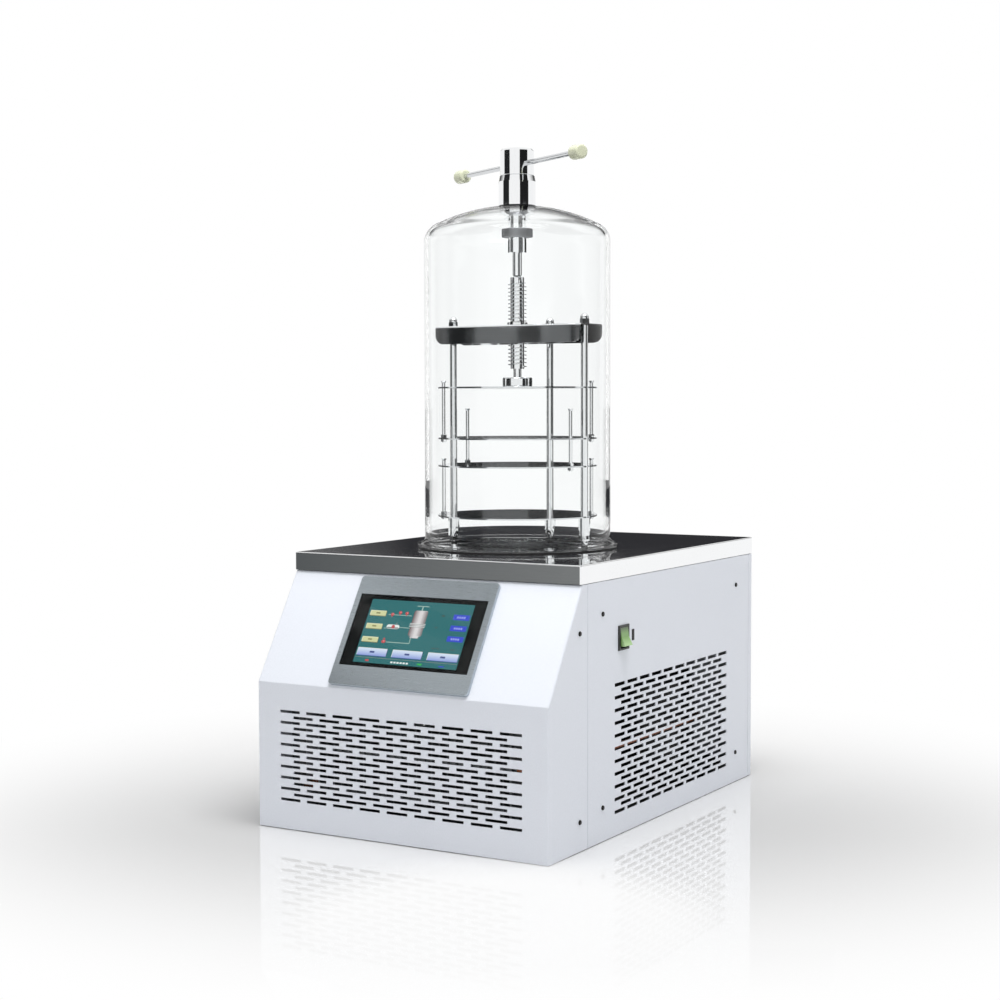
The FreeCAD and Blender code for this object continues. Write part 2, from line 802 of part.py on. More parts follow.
def fan_shroud():
    """Pressed plate behind the condenser, with the fan's ring and motor bracket."""
    w, d, h = condenser_size
    y, z = fan_place()
    plate = box(-w / 2, y, pan_floor, w / 2, y + sheet, pan_floor + h)
    ring_outer = rod_between(fan_radius + fan_tip_gap + sheet, vec(0, y, z),
                             vec(0, y + shroud_depth, z))
    hole = rod_between(fan_radius + fan_tip_gap, vec(0, y - 1, z),
                       vec(0, y + shroud_depth + 1, z))
    shell = plate.fuse(ring_outer).cut(hole)
    arms = []
    back = y + shroud_depth
    for k in range(3):
        arm = box(motor_radius - 1.0, back - 4, z - 4, fan_radius + fan_tip_gap + 1, back, z + 4)
        arm.rotate(vec(0, back, z), vec(0, 1, 0), 90 + 120 * k)
        arms.append(arm)
    collar = rod_between(motor_radius + 2, vec(0, back - 4, z), vec(0, back, z))
    body = shell.fuse(arms + [collar])
    return body.cut(rod_between(motor_radius, vec(0, y - 1, z), vec(0, back + 1, z)))


def fan_motor():
    y, z = fan_place()
    start = y + shroud_depth - 4
    can = rod_between(motor_radius, vec(0, start, z), vec(0, start + motor_length, z))
    shaft_hole = rod_between(fan_shaft_radius + pin_clearance, vec(0, start - 1, z),
                             vec(0, start + motor_length - 8, z))
    return can.cut(shaft_hole)


def fan_rotor():
    """Hub, pitched blades and shaft."""
    y, z = fan_place()
    back = y + shroud_depth - 4 - motor_gap
    hub = rod_between(fan_hub_radius, vec(0, back - fan_blade_depth, z), vec(0, back, z))
    shaft = rod_between(fan_shaft_radius, vec(0, back - 2, z),
                        vec(0, back + motor_gap + motor_length - 9, z))
    blades = []
    for k in range(fan_blades):
        blade = box(-14, -1, fan_hub_radius - 3, 14, 1, fan_radius)
        blade.rotate(vec(0, 0, 0), vec(0, 0, 1), 28)
        blade.rotate(vec(0, 0, 0), vec(0, 1, 0), 360 / fan_blades * k)
        blade.translate(vec(0, back - fan_blade_depth / 2, z))
        blades.append(blade)
    limit = rod_between(fan_radius, vec(0, back - fan_blade_depth, z), vec(0, back, z))
    return hub.fuse(blades).common(limit).fuse(shaft)


def control_box():
    w, d, h = control_box_size
    x, y = control_box_place[0], front_y + control_box_place[1]
    shell = box(x, y, pan_floor, x + w, y + d, pan_floor + h)
    return shell.makeFillet(2.0, edges_where(shell, is_upright))


def suction_route():
    """From the jacket to the compressor's shell."""
    x, y = compressor_place[0], front_y + compressor_place[1]
    level = jacket_low + 24
    return [vec(60, axis_y + 50, level), vec(60, y, level),
            vec(60, y, compressor_floor() + 100)]


def liquid_route():
    """From the condenser's left end up to the jacket."""
    w, d, h = condenser_size
    y0 = front_y + condenser_back + 10
    x = -half_w + 38
    level = jacket_low + 34
    return [vec(-w / 2 - 6, y0, pan_floor + 48), vec(x, y0, pan_floor + 48),
            vec(x, axis_y, pan_floor + 48), vec(x, axis_y, level),
            vec(-trap_radius, axis_y, level)]


def discharge_route():
    """From the compressor round to the condenser's right end."""
    w, d, h = condenser_size
    cx, cy = compressor_place[0], front_y + compressor_place[1]
    y0 = front_y + condenser_back + 10
    x = half_w - 34
    level = pan_floor + 104
    return [vec(cx, cy, level), vec(x, cy, level), vec(x, y0, level), vec(w / 2 + 6, y0, level)]


def suction_pipe():
    trap = rod(jacket_radius, jacket_low - 1, jacket_high)
    return pipe(suction_route(), pipe_radius, pipe_bend).cut([trap, compressor()])


def liquid_pipe():
    trap = rod(jacket_radius, jacket_low - 1, jacket_high)
    return pipe(liquid_route(), pipe_radius, pipe_bend).cut(trap)


def discharge_pipe():
    return pipe(discharge_route(), pipe_radius, pipe_bend).cut(compressor())


def power_inlet():
    """Appliance inlet: flange, body and three blades."""
    x, z = inlet_place
    w, h = inlet_size
    flange = box(x - w / 2 - 4, rear_y, z - h / 2 - 4, x + w / 2 + 4, rear_y + inlet_flange,
                 z + h / 2 + 4)
    flange = flange.makeFillet(3.0, edges_where(
        flange, lambda e: abs(spans(e)[1][1] - spans(e)[0][1] - inlet_flange) < 0.01))
    body = box(x - w / 2, rear_y - inlet_depth, z - h / 2, x + w / 2, rear_y + 0.5, z + h / 2)
    well = box(x - 14, rear_y - 18, z - 9, x + 14, rear_y + inlet_flange + 1, z + 9)
    blades = [box(x + dx - 1, rear_y - 19, z + dz - 2.5, x + dx + 1, rear_y - 6, z + dz + 2.5)
              for dx, dz in ((-7, -2), (0, 3), (7, -2))]
    return flange.fuse(body).cut(well).fuse(blades)


# ---- bell jar and gland ---------------------------------------------------------------
def dome_points(wall):
    """Tangent point and shoulder of the dished end, wall inside the outer face."""
    zc = jar_apex - jar_crown_radius
    run = jar_radius - jar_knuckle_radius
    reach = jar_crown_radius - jar_knuckle_radius
    zk = zc + math.sqrt(reach ** 2 - run ** 2)
    ux, uz = run / reach, (zk - zc) / reach
    crown = jar_crown_radius - wall
    return (crown * ux, zc + crown * uz), (jar_radius - wall, zk), zc, zk, ux, uz


def bell_jar():
    """Clear jar in one piece: flared lip, thick foot, straight wall and dished top."""
    tangent, shoulder, zc, zk, ux, uz = dome_points(0.0)
    inner_tangent, inner_shoulder, *_ = dome_points(jar_wall)
    crown_angle = math.degrees(math.atan2(uz, ux))
    knuckle_mid = crown_angle / 2
    crown_mid = (crown_angle + 90) / 2
    z0 = seal_top
    lip_top = z0 + jar_lip
    fillet_top = lip_top + jar_lip_fillet
    fillet_r = jar_radius + jar_lip_fillet
    foot_top = z0 + jar_foot_height
    inner_r = jar_radius - jar_wall
    edges = [
        line((jar_foot_inner, z0), (jar_lip_radius, z0)),
        line((jar_lip_radius, z0), (jar_lip_radius, lip_top)),
        line((jar_lip_radius, lip_top), (fillet_r, lip_top)),
        arc((fillet_r, lip_top), (fillet_r, fillet_top), jar_lip_fillet, 225,
            (jar_radius, fillet_top)),
        line((jar_radius, fillet_top), shoulder),
        arc(shoulder, (jar_radius - jar_knuckle_radius, zk), jar_knuckle_radius, knuckle_mid,
            tangent),
        arc(tangent, (0, zc), jar_crown_radius, crown_mid, (0, jar_apex)),
        line((0, jar_apex), (0, jar_apex - jar_wall)),
        arc((0, jar_apex - jar_wall), (0, zc), jar_crown_radius - jar_wall, crown_mid,
            inner_tangent),
        arc(inner_tangent, (jar_radius - jar_knuckle_radius, zk),
            jar_knuckle_radius - jar_wall, knuckle_mid, inner_shoulder),
        line(inner_shoulder, (inner_r, foot_top + inner_r - jar_foot_inner)),
        line((inner_r, foot_top + inner_r - jar_foot_inner), (jar_foot_inner, foot_top)),
        line((jar_foot_inner, foot_top), (jar_foot_inner, z0)),
    ]
    jar = turned(edges)
    spot_face = rod(gland_radius + 2, gland_flat, jar_apex + 1)
    return jar.cut([spot_face, rod(stem_radius, gland_flat - 20, gland_flat + 1)])


def jar_seal():
    return tube(seal_outer, seal_inner, body_height, seal_top)


def gland_washer():
    return tube(gland_radius - 0.5, stem_radius, gland_flat, gland_flat + washer_thickness)


def gland_body():
    """Bearing and seal housing, its stem down through the dome."""
    low = gland_flat + washer_thickness
    profile = outline([
        (shaft_radius + shaft_clearance, stem_low), (stem_foot_radius, stem_low),
        (stem_foot_radius, lock_nut[0] - 2), (stem_radius, lock_nut[0] - 2),
        (stem_radius, low), (gland_radius, low), (gland_radius, gland_top - gland_shoulder[1]),
        (gland_radius - gland_shoulder[0], gland_top), (shaft_radius + shaft_clearance, gland_top)])
    return turned(profile).cut(seal_groove())


def seal_groove():
    z = gland_top - 22
    return tube(shaft_radius + 3.0, shaft_radius, z, z + seal_ring_height)


def shaft_seal():
    """Rubber ring in the housing, round the shaft."""
    z = gland_top - 22
    return tube(shaft_radius + 3.0, shaft_radius + shaft_clearance, z, z + seal_ring_height)


def dome_inner_level(radius):
    """Height of the dome's inner face at a radius near the axis."""
    inside = jar_crown_radius - jar_wall
    return jar_apex - jar_crown_radius + math.sqrt(inside ** 2 - radius ** 2)


def gland_cone_nut():
    """Tapered nut drawn up against the inside of the dome."""
    top = dome_inner_level(cone_radius)
    return turned(outline([(stem_radius, cone_low), (stem_radius + 2.5, cone_low),
                           (cone_radius, top - 3), (cone_radius, top), (stem_radius, top)]))


def gland_lock_nut():
    """Round nut with flats on the stem, inside the jar."""
    solid = tube(lock_nut_radius, stem_radius, lock_nut[0], lock_nut[1])
    rims = edges_where(solid, lambda e: e.Curve.TypeId == "Part::GeomCircle"
                       and e.Curve.Radius > lock_nut_radius - 0.1)
    solid = solid.makeFillet(1.2, rims)
    flats = [box(s * (lock_nut_radius - 1.6) - (0 if s > 0 else 9), axis_y - 40, lock_nut[0] - 1,
                 s * (lock_nut_radius - 1.6) + (9 if s > 0 else 0), axis_y + 40,
                 lock_nut[1] + 1) for s in (-1, 1)]
    return solid.cut(flats)


# ---- handle -----------------------------------------------------------------------------
def bar_direction():
    a = math.radians(bar_angle)
    return vec(math.cos(a), math.sin(a), 0)


def bar_point(distance):
    d = bar_direction()
    return vec(d.x * distance, axis_y + d.y * distance, bar_level)


def handle_boss():
    """Round boss on top of the gland, cross-drilled for the bar."""
    low = gland_top + boss_gap
    solid = turned(outline([(shaft_radius, low), (boss_radius - 1, low),
                            (boss_radius, low + 1), (boss_radius, boss_top - 3),
                            (boss_radius - 3, boss_top), (shaft_radius, boss_top)]))
    return solid.cut(rod_between(bar_radius, bar_point(-40), bar_point(40)))


def handle_shaft():
    """Shaft from the boss through the gland, with a hexagonal lower end."""
    solid = rod(shaft_radius, shaft_low + drive_length, boss_top)
    solid = solid.cut(rod_between(bar_radius, bar_point(-40), bar_point(40)))
    drive = hexagon(drive_flats, shaft_low, shaft_low + drive_length)
    return solid.fuse(drive)


def handle_bar():
    end = bar_reach + knob_grip
    return rod_between(bar_radius, bar_point(-end), bar_point(end))


def handle_knob(side):
    """Barrel-shaped knob with rounded rims, blind-bored for the bar."""
    start = bar_point(side * (bar_reach - knob_length / 2))
    end = bar_point(side * (bar_reach + knob_length / 2))
    knob = rod_between(knob_radius, start, end)
    rims = edges_where(knob, lambda e: e.Curve.TypeId == "Part::GeomCircle")
    knob = knob.makeFillet(3.0, rims)
    bore = rod_between(bar_radius, bar_point(side * (bar_reach - knob_length)),
                       bar_point(side * (bar_reach + knob_grip)))
    return knob.cut(bore)


# ---- press --------------------------------------------------------------------------------
def press_spindle():
    """Threaded spindle with a hexagonal socket on top and a plain neck below."""
    solid = rod(screw_outer_radius, spindle_low, spindle_top)
    rims = edges_where(solid, lambda e: e.Curve.TypeId == "Part::GeomCircle")
    solid = solid.makeChamfer(1.5, rims)
    neck = rod(neck_radius, neck_low(), spindle_low + 1)
    socket = hexagon(drive_flats + 2 * drive_clearance, spindle_top - drive_socket,
                     spindle_top + 1)
    return solid.fuse(neck).cut(socket)


def neck_low():
    return shelf_levels[0] + presser_height - presser_socket + 0.3


def presser_foot():
    """Pressure pad on the top shelf, turning freely on the spindle's neck."""
    low = shelf_levels[0]
    high = low + presser_height
    pad = rod(presser_radius, low, high)
    rims = edges_where(pad, lambda e: e.Curve.TypeId == "Part::GeomCircle")
    pad = pad.makeFillet(2.0, rims)
    return pad.cut(rod(neck_radius + pin_clearance, high - presser_socket, high + 1))


def press_bush():
    """Nut of the press: collar above the bridge, flange below it."""
    under = bridge_top - bridge_sheet
    solid = rod(bush_collar_radius, under - 1, bridge_top + bush_collar)
    solid = solid.fuse(rod(bush_flange_radius, under - bush_flange, under))
    bore = rod(screw_outer_radius + thread_clearance, under - bush_flange - 1,
               bridge_top + bush_collar + 1)
    return solid.cut(bore)


def column_places():
    return [(-column_side, axis_y), (column_side, axis_y), (0.0, axis_y + column_rear)]


def bridge_plate():
    """Folded head of the rack: flat top, front and rear flanges, a tongue to the rear column."""
    half = bridge_length / 2
    depth = bridge_depth / 2
    low = bridge_top - bridge_height
    outer = box(-half, axis_y - depth, low, half, axis_y + depth, bridge_top)
    folds = edges_where(outer, lambda e: spans(e)[0][2] > bridge_top - 1
                        and spans(e)[1][0] - spans(e)[0][0] > half)
    outer = outer.makeFillet(bend_radius, folds)
    inner = box(-half - 1, axis_y - depth + bridge_sheet, low - 1, half + 1,
                axis_y + depth - bridge_sheet, bridge_top - bridge_sheet)
    shell = outer.cut(inner)
    tongue = box(-tongue_width / 2, axis_y + depth - 4, bridge_top - bridge_sheet,
                 tongue_width / 2, axis_y + tongue_reach, bridge_top)
    tongue = tongue.makeFillet(6.0, edges_where(
        tongue, lambda e: is_upright(e) and spans(e)[0][1] > axis_y + depth))
    # the flanges' free lower corners are round
    corners = []
    for side in (-1, 1):
        square = box(min(side * half, side * (half - bridge_corner)), axis_y - 60, low - 1,
                     max(side * half, side * (half - bridge_corner)), axis_y + 60,
                     low + bridge_corner)
        keep = rod_between(bridge_corner, vec(side * (half - bridge_corner), axis_y - 61,
                                              low + bridge_corner),
                           vec(side * (half - bridge_corner), axis_y + 61,
                               low + bridge_corner))
        corners.append(square.cut(keep))
    holes = [rod(column_stud_radius, low, bridge_top + 1, x, y) for x, y in column_places()]
    holes.append(rod(bush_collar_radius, low, bridge_top + 1))
    return shell.fuse(tongue).cut(corners + holes)


def column(place):
    """Guide column with a threaded stud through the bridge."""
    low = body_height + foot_tip_height
    shoulder = bridge_top - bridge_sheet
    pin = rod(column_radius, low, shoulder, *place)
    return pin.fuse(rod(column_stud_radius, shoulder - 1, bridge_top + cap_nut_bore, *place))


def column_tip(place):
    """Rubber tip under a column."""
    return rod(column_radius - 0.6, body_height, body_height + foot_tip_height, *place)


def column_sleeve(place):
    """Sleeve that carries the bottom shelf."""
    top = shelf_levels[3] - shelf_thickness
    sleeve = rod(sleeve_radius, sleeve_low, top, *place)
    return sleeve.cut(rod(column_radius, sleeve_low - 1, top + 1, *place))


def cap_nuts():
    """Domed nuts on the three columns, as separate solids."""
    nuts = []
    for x, y in column_places():
        body = hexagon(cap_nut_flats, bridge_top, bridge_top + cap_nut_hex, x, y)
        dome_r = cap_nut_flats / 2 - 0.6
        dome = rod(dome_r, bridge_top + cap_nut_hex - 1, bridge_top + cap_nut_height, x, y)
        rim = edges_where(dome, lambda e: e.Curve.TypeId == "Part::GeomCircle"
                          and spans(e)[0][2] > bridge_top + cap_nut_hex)
        dome = dome.makeFillet(dome_r - 0.3, rim)
        bore = rod(column_stud_radius, bridge_top - 1, bridge_top + cap_nut_bore, x, y)
        nuts.append(body.fuse(dome).cut(bore))
    return Part.makeCompound(nuts)


# ---- shelves and their links ------------------------------------------------------------
def link_places(circle, angle):
    a = math.radians(angle)
    x, y = circle * math.cos(a), circle * math.sin(a)
    return [(x, axis_y + y), (-x, axis_y - y)]


outer_links = link_places(link_circle, link_angle)
middle_links = link_places(link_circle_middle, link_angle_middle)


def shelf(index, fixed, sliding):
    """Thin round shelf: open notches for the side columns, holes for the rest.

    fixed links are clamped to this shelf, sliding ones pass through it.
    """
    top = shelf_levels[index]
    low = top - shelf_thickness
    disc = rod(shelf_radius, low, top)
    hole = column_radius + column_clearance
    cutters = [rod(hole, low - 1, top + 1, x, y) for x, y in column_places()]
    for side in (-1, 1):
        cutters.append(box(min(side * column_side, side * shelf_radius * 1.1), axis_y - hole,
                           low - 1, max(side * column_side, side * shelf_radius * 1.1),
                           axis_y + hole, top + 1))
    cutters += [rod(link_radius, low - 1, top + 1, x, y) for x, y in fixed]
    cutters += [rod(link_radius + link_hole_clearance, low - 1, top + 1, x, y)
                for x, y in sliding]
    return disc.cut(cutters)


def shelf_links(index, places, above):
    """Link rods clamped to one shelf, each with a countersunk head above the next shelf up."""
    rods = []
    low = shelf_levels[index] - shelf_thickness - link_below
    head_top = shelf_levels[index - 1] + above
    for x, y in places:
        stem = rod(link_radius, low, head_top - 0.5, x, y)
        head = turned(outline([(0, head_top - link_head_height),
                               (link_radius, head_top - link_head_height),
                               (link_head_radius, head_top), (0, head_top)]), x, y)
        rods.append(stem.fuse(head))
    return Part.makeCompound(rods + link_nuts(index, places))


def link_nuts(index, places):
    """Nuts on both faces of the shelf that holds the links."""
    nuts = []
    top = shelf_levels[index]
    under = top - shelf_thickness - link_nut_height
    for x, y in places:
        for z in (top, under):
            nut = hexagon(link_nut_flats, z, z + link_nut_height, x, y)
            nuts.append(nut.cut(rod(link_radius, z - 1, z + link_nut_height + 1, x, y)))
    return nuts


def group(maker, places):
    """Like pieces in one node, as separate solids."""
    return Part.makeCompound([maker(place) for place in places])


nodes = {
    "base_pan": base_pan(),
    "front_cover": front_cover(),
    "side_panel_right": side_panel(1),
    "side_panel_left": side_panel(-1),
    "rear_panel": rear_panel(),
    "cover_screws": cover_screws(),
    "worktop": worktop(),
    "screen_bezel": screen_bezel(),
    "screen_glass": screen_glass(),
    "display_module": display_module(),
    "switch_housing": switch_housing(),
    "power_rocker": power_rocker(),
    "blanking_plug": blanking_plug(),
    "cold_trap": cold_trap(),
    "cooling_jacket": cooling_jacket(),
    "trap_foam": trap_foam(),
    "vacuum_port": vacuum_port(),
    "drain_elbow": drain_elbow(),
    "drain_pipe": drain_pipe(),
    "drain_cap": drain_cap(),
    "compressor": compressor(),
    "compressor_grommets": compressor_grommets(),
    "condenser": condenser(),
    "fan_shroud": fan_shroud(),
    "fan_motor": fan_motor(),
    "fan_rotor": fan_rotor(),
    "control_box": control_box(),
    "suction_pipe": suction_pipe(),
    "liquid_pipe": liquid_pipe(),
    "discharge_pipe": discharge_pipe(),
    "power_inlet": power_inlet(),
    "bell_jar": bell_jar(),
    "jar_seal": jar_seal(),
    "gland_washer": gland_washer(),
    "gland_body": gland_body(),
    "shaft_seal": shaft_seal(),
    "gland_cone_nut": gland_cone_nut(),
    "gland_lock_nut": gland_lock_nut(),
    "handle_boss": handle_boss(),
    "handle_shaft": handle_shaft(),
    "handle_bar": handle_bar(),
    "press_spindle": press_spindle(),
    "presser_foot": presser_foot(),
    "press_bush": press_bush(),
    "bridge_plate": bridge_plate(),
    "cap_nuts": cap_nuts(),
    "shelf_1": shelf(0, [], outer_links),
    "shelf_2": shelf(1, outer_links, middle_links),
    "shelf_3": shelf(2, middle_links, outer_links),
    "shelf_4": shelf(3, outer_links, []),
    "links_upper": shelf_links(1, outer_links, link_above),
    "links_middle": shelf_links(2, middle_links, link_above_middle),
    "links_lower": shelf_links(3, outer_links, link_above),
    "handle_knobs": group(handle_knob, (-1, 1)),
    "columns": group(column, column_places()),
    "column_tips": group(column_tip, column_places()),
    "column_sleeves": group(column_sleeve, column_places()),
    "feet": group(foot, foot_places()),
    "posts": group(post, post_places()),
    "cover_rails": Part.makeCompound([cover_rail(-1), cover_rail(1), rear_rail()]),
}

os.makedirs("parts", exist_ok=True)
for name, shape in nodes.items():
    if not shape.isValid():
        raise ValueError("invalid shape: " + name)
    shape.exportStep("parts/%s.step" % name)
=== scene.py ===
import math

import bmesh
import bpy
from mathutils import Matrix, Vector


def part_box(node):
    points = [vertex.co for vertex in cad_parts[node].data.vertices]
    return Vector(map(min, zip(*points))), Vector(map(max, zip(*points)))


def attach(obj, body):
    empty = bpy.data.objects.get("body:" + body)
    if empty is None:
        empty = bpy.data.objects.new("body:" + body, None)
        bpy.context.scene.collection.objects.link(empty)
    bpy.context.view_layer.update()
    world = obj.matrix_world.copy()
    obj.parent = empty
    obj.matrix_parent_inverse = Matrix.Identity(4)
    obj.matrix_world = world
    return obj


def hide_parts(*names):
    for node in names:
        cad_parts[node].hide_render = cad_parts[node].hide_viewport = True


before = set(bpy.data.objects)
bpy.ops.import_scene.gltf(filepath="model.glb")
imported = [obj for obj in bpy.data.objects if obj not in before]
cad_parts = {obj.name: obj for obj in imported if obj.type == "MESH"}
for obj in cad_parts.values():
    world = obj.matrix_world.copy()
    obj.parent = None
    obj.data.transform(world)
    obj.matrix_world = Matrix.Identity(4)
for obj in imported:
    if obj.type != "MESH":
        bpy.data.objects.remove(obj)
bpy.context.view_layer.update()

# ---- camera ----------------------------------------------------------------------------
# A long lens at bench height, to the right of the machine and just above the worktop,
# so that the front and the right side both show and the shelves are nearly edge on.
camera_place = (1.30348, -2.30174, 0.57433)
camera_turn, camera_dip, camera_roll = 30.302, 3.038, -0.124          # degrees
camera_data = bpy.data.cameras.new("camera")
camera_data.lens = 65.83
camera_data.sensor_width = 36.0
camera = bpy.data.objects.new("camera", camera_data)
bpy.context.scene.collection.objects.link(camera)
camera.matrix_world = (Matrix.Translation(camera_place)
                       @ Matrix.Rotation(math.radians(camera_turn), 4, "Z")
                       @ Matrix.Rotation(math.radians(90 - camera_dip), 4, "X")
                       @ Matrix.Rotation(math.radians(camera_roll), 4, "Z"))
bpy.context.scene.camera = camera


# ---- studio ----------------------------------------------------------------------------
# A pale glossy floor in a white surround, one large softbox overhead, and dark flags
# that show only in mirror images and give polished steel its black streaks.
def linear(text):
    """sRGB hex to linear RGBA."""
    channels = [int(text[i:i + 2], 16) / 255 for i in (1, 3, 5)]
    return tuple(c / 12.92 if c <= 0.04045 else ((c + 0.055) / 1.055) ** 2.4
                 for c in channels) + (1.0,)


def add(tree, kind, inputs=(), **settings):
    """Adds a node. Each input is a value, or another node's output to link."""
    node = tree.nodes.new(kind)
    for key, value in settings.items():
        setattr(node, key, value)
    for key, value in dict(inputs).items():
        if isinstance(value, bpy.types.NodeSocket):
            tree.links.new(value, node.inputs[key])
        else:
            node.inputs[key].default_value = value
    return node


def blank(data):
    """The empty node tree of a new material or world."""
    data.use_nodes = True
    data.node_tree.nodes.clear()
    return data.node_tree


def new_object(name, bm, *materials, smooth=None):
    """Object from a bmesh. Faces that meet under smooth degrees shade as one."""
    if smooth is not None:
        for face in bm.faces:
            face.smooth = True
        for edge in bm.edges:
            edge.smooth = (len(edge.link_faces) == 2
                           and edge.calc_face_angle() < math.radians(smooth))
    mesh = bpy.data.meshes.new(name)
    bm.to_mesh(mesh)
    bm.free()
    for material in materials:
        mesh.materials.append(material)
    made = bpy.data.objects.new(name, mesh)
    bpy.context.scene.collection.objects.link(made)
    return made


def in_sight(tree, path):
    """1 for rays that come straight, off a gloss or through glass, and 0 for the rest."""
    seen = path.outputs["Is Camera Ray"]
    for kind in ("Is Glossy Ray", "Is Transmission Ray"):
        seen = add(tree, "ShaderNodeMath", {0: seen, 1: path.outputs[kind]},
                   operation="MAXIMUM").outputs[0]
    return seen


bpy.context.scene.view_settings.view_transform = "Standard"

surround = bpy.data.worlds.new("white_surround")
bpy.context.scene.world = surround
tree = blank(surround)
path = add(tree, "ShaderNodeLightPath")
fill_light = 0.55                                        # the white surround's own light
strength = add(tree, "ShaderNodeMix", {0: in_sight(tree, path), 2: fill_light, 3: 1.0})
# mirrors also see a grey wall band; its edges are sines of the height above the horizon
band_foot, band_full, band_fade, band_top = 0.165, 0.235, 0.25, 0.42
aim = add(tree, "ShaderNodeTexCoord")
height = add(tree, "ShaderNodeSeparateXYZ", {"Vector": aim.outputs["Generated"]})
foot_edge = add(tree, "ShaderNodeMapRange", {0: height.outputs["Z"], 1: band_foot,
                                             2: band_full, 3: 0.0, 4: 1.0},
                interpolation_type="SMOOTHSTEP")
top_edge = add(tree, "ShaderNodeMapRange", {0: height.outputs["Z"], 1: band_fade,
                                            2: band_top, 3: 1.0, 4: 0.0},
               interpolation_type="SMOOTHSTEP")
band = add(tree, "ShaderNodeMath", {0: foot_edge.outputs[0], 1: top_edge.outputs[0]},
           operation="MULTIPLY")
band = add(tree, "ShaderNodeMath", {0: band.outputs[0], 1: path.outputs["Is Glossy Ray"]},
           operation="MULTIPLY")
shade = add(tree, "ShaderNodeMix", {0: band.outputs[0], 6: linear("#FFFFFF"),
                                    7: linear("#484848")}, data_type="RGBA")
sky = add(tree, "ShaderNodeBackground", {"Color": shade.outputs[2],
                                         "Strength": strength.outputs[0]})
add(tree, "ShaderNodeOutputWorld", {"Surface": sky.outputs[0]})

softbox_place, softbox_aim = Vector((0.44, -0.5, 2.51)), Vector((0, 0, 0.3))
softbox = bpy.data.lights.new("softbox", "AREA")
softbox.shape = "RECTANGLE"
softbox.size, softbox.size_y = 1.6, 1.4
softbox.energy = 54                                      # watts
overhead = bpy.data.objects.new("softbox", softbox)
bpy.context.scene.collection.objects.link(overhead)
overhead.location = softbox_place
overhead.rotation_euler = (softbox_aim - softbox_place).to_track_quat("-Z", "Y").to_euler()
overhead.visible_camera = overhead.visible_glossy = False

# White acrylic floor: plain and glossy round the machine, where it takes its shadow and
# a weak mirror image, with a patch of painted light before it, and pure white further off.
glossy_reach, white_reach = 0.33, 1.0                    # from the middle of the machine
patch_place = (0.306, -0.602, 0.0)                       # before the machine
patch_full, patch_end, patch_share = 0.18, 0.36, 0.8
floor_half = 14.0
acrylic = bpy.data.materials.new("white_acrylic_polished")
tree = blank(acrylic)
path = add(tree, "ShaderNodeLightPath")
place = add(tree, "ShaderNodeTexCoord")
reach = add(tree, "ShaderNodeVectorMath", {0: place.outputs["Object"]}, operation="LENGTH")
far = add(tree, "ShaderNodeMapRange", {0: reach.outputs["Value"], 1: glossy_reach,
                                       2: white_reach}, interpolation_type="SMOOTHSTEP")
# painted light: white glow makes the patch before the machine, where it is mirrored, lighter
before = add(tree, "ShaderNodeVectorMath", {0: place.outputs["Object"], 1: patch_place},
             operation="DISTANCE")
painted_light_patch = add(tree, "ShaderNodeMapRange", {0: before.outputs["Value"], 1: patch_full,
                                         2: patch_end, 3: patch_share, 4: 0.0},
            interpolation_type="SMOOTHSTEP")
lighter = add(tree, "ShaderNodeMath", {0: far.outputs[0], 1: painted_light_patch.outputs[0]},
              operation="MAXIMUM")
share = add(tree, "ShaderNodeMath", {0: in_sight(tree, path), 1: lighter.outputs[0]},
            operation="MULTIPLY")
gloss = add(tree, "ShaderNodeBsdfPrincipled", {"Base Color": linear("#E2E2E2"),
                                               "Roughness": 0.03, "IOR": 2.0})
glow = add(tree, "ShaderNodeEmission", {"Color": linear("#FFFFFF"), "Strength": 1.0})
mixed = add(tree, "ShaderNodeMixShader", {0: share.outputs[0], 1: gloss.outputs[0],
                                          2: glow.outputs[0]})
add(tree, "ShaderNodeOutputMaterial", {"Surface": mixed.outputs[0]})
bm = bmesh.new()
bmesh.ops.create_grid(bm, x_segments=1, y_segments=1, size=floor_half)
new_object("floor", bm, acrylic)

axis_y = sum(corner.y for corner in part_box("gland_body")) / 2         # chamber axis
one_mirror, three_panes = 0.5, 2.5                       # ray counts to be above


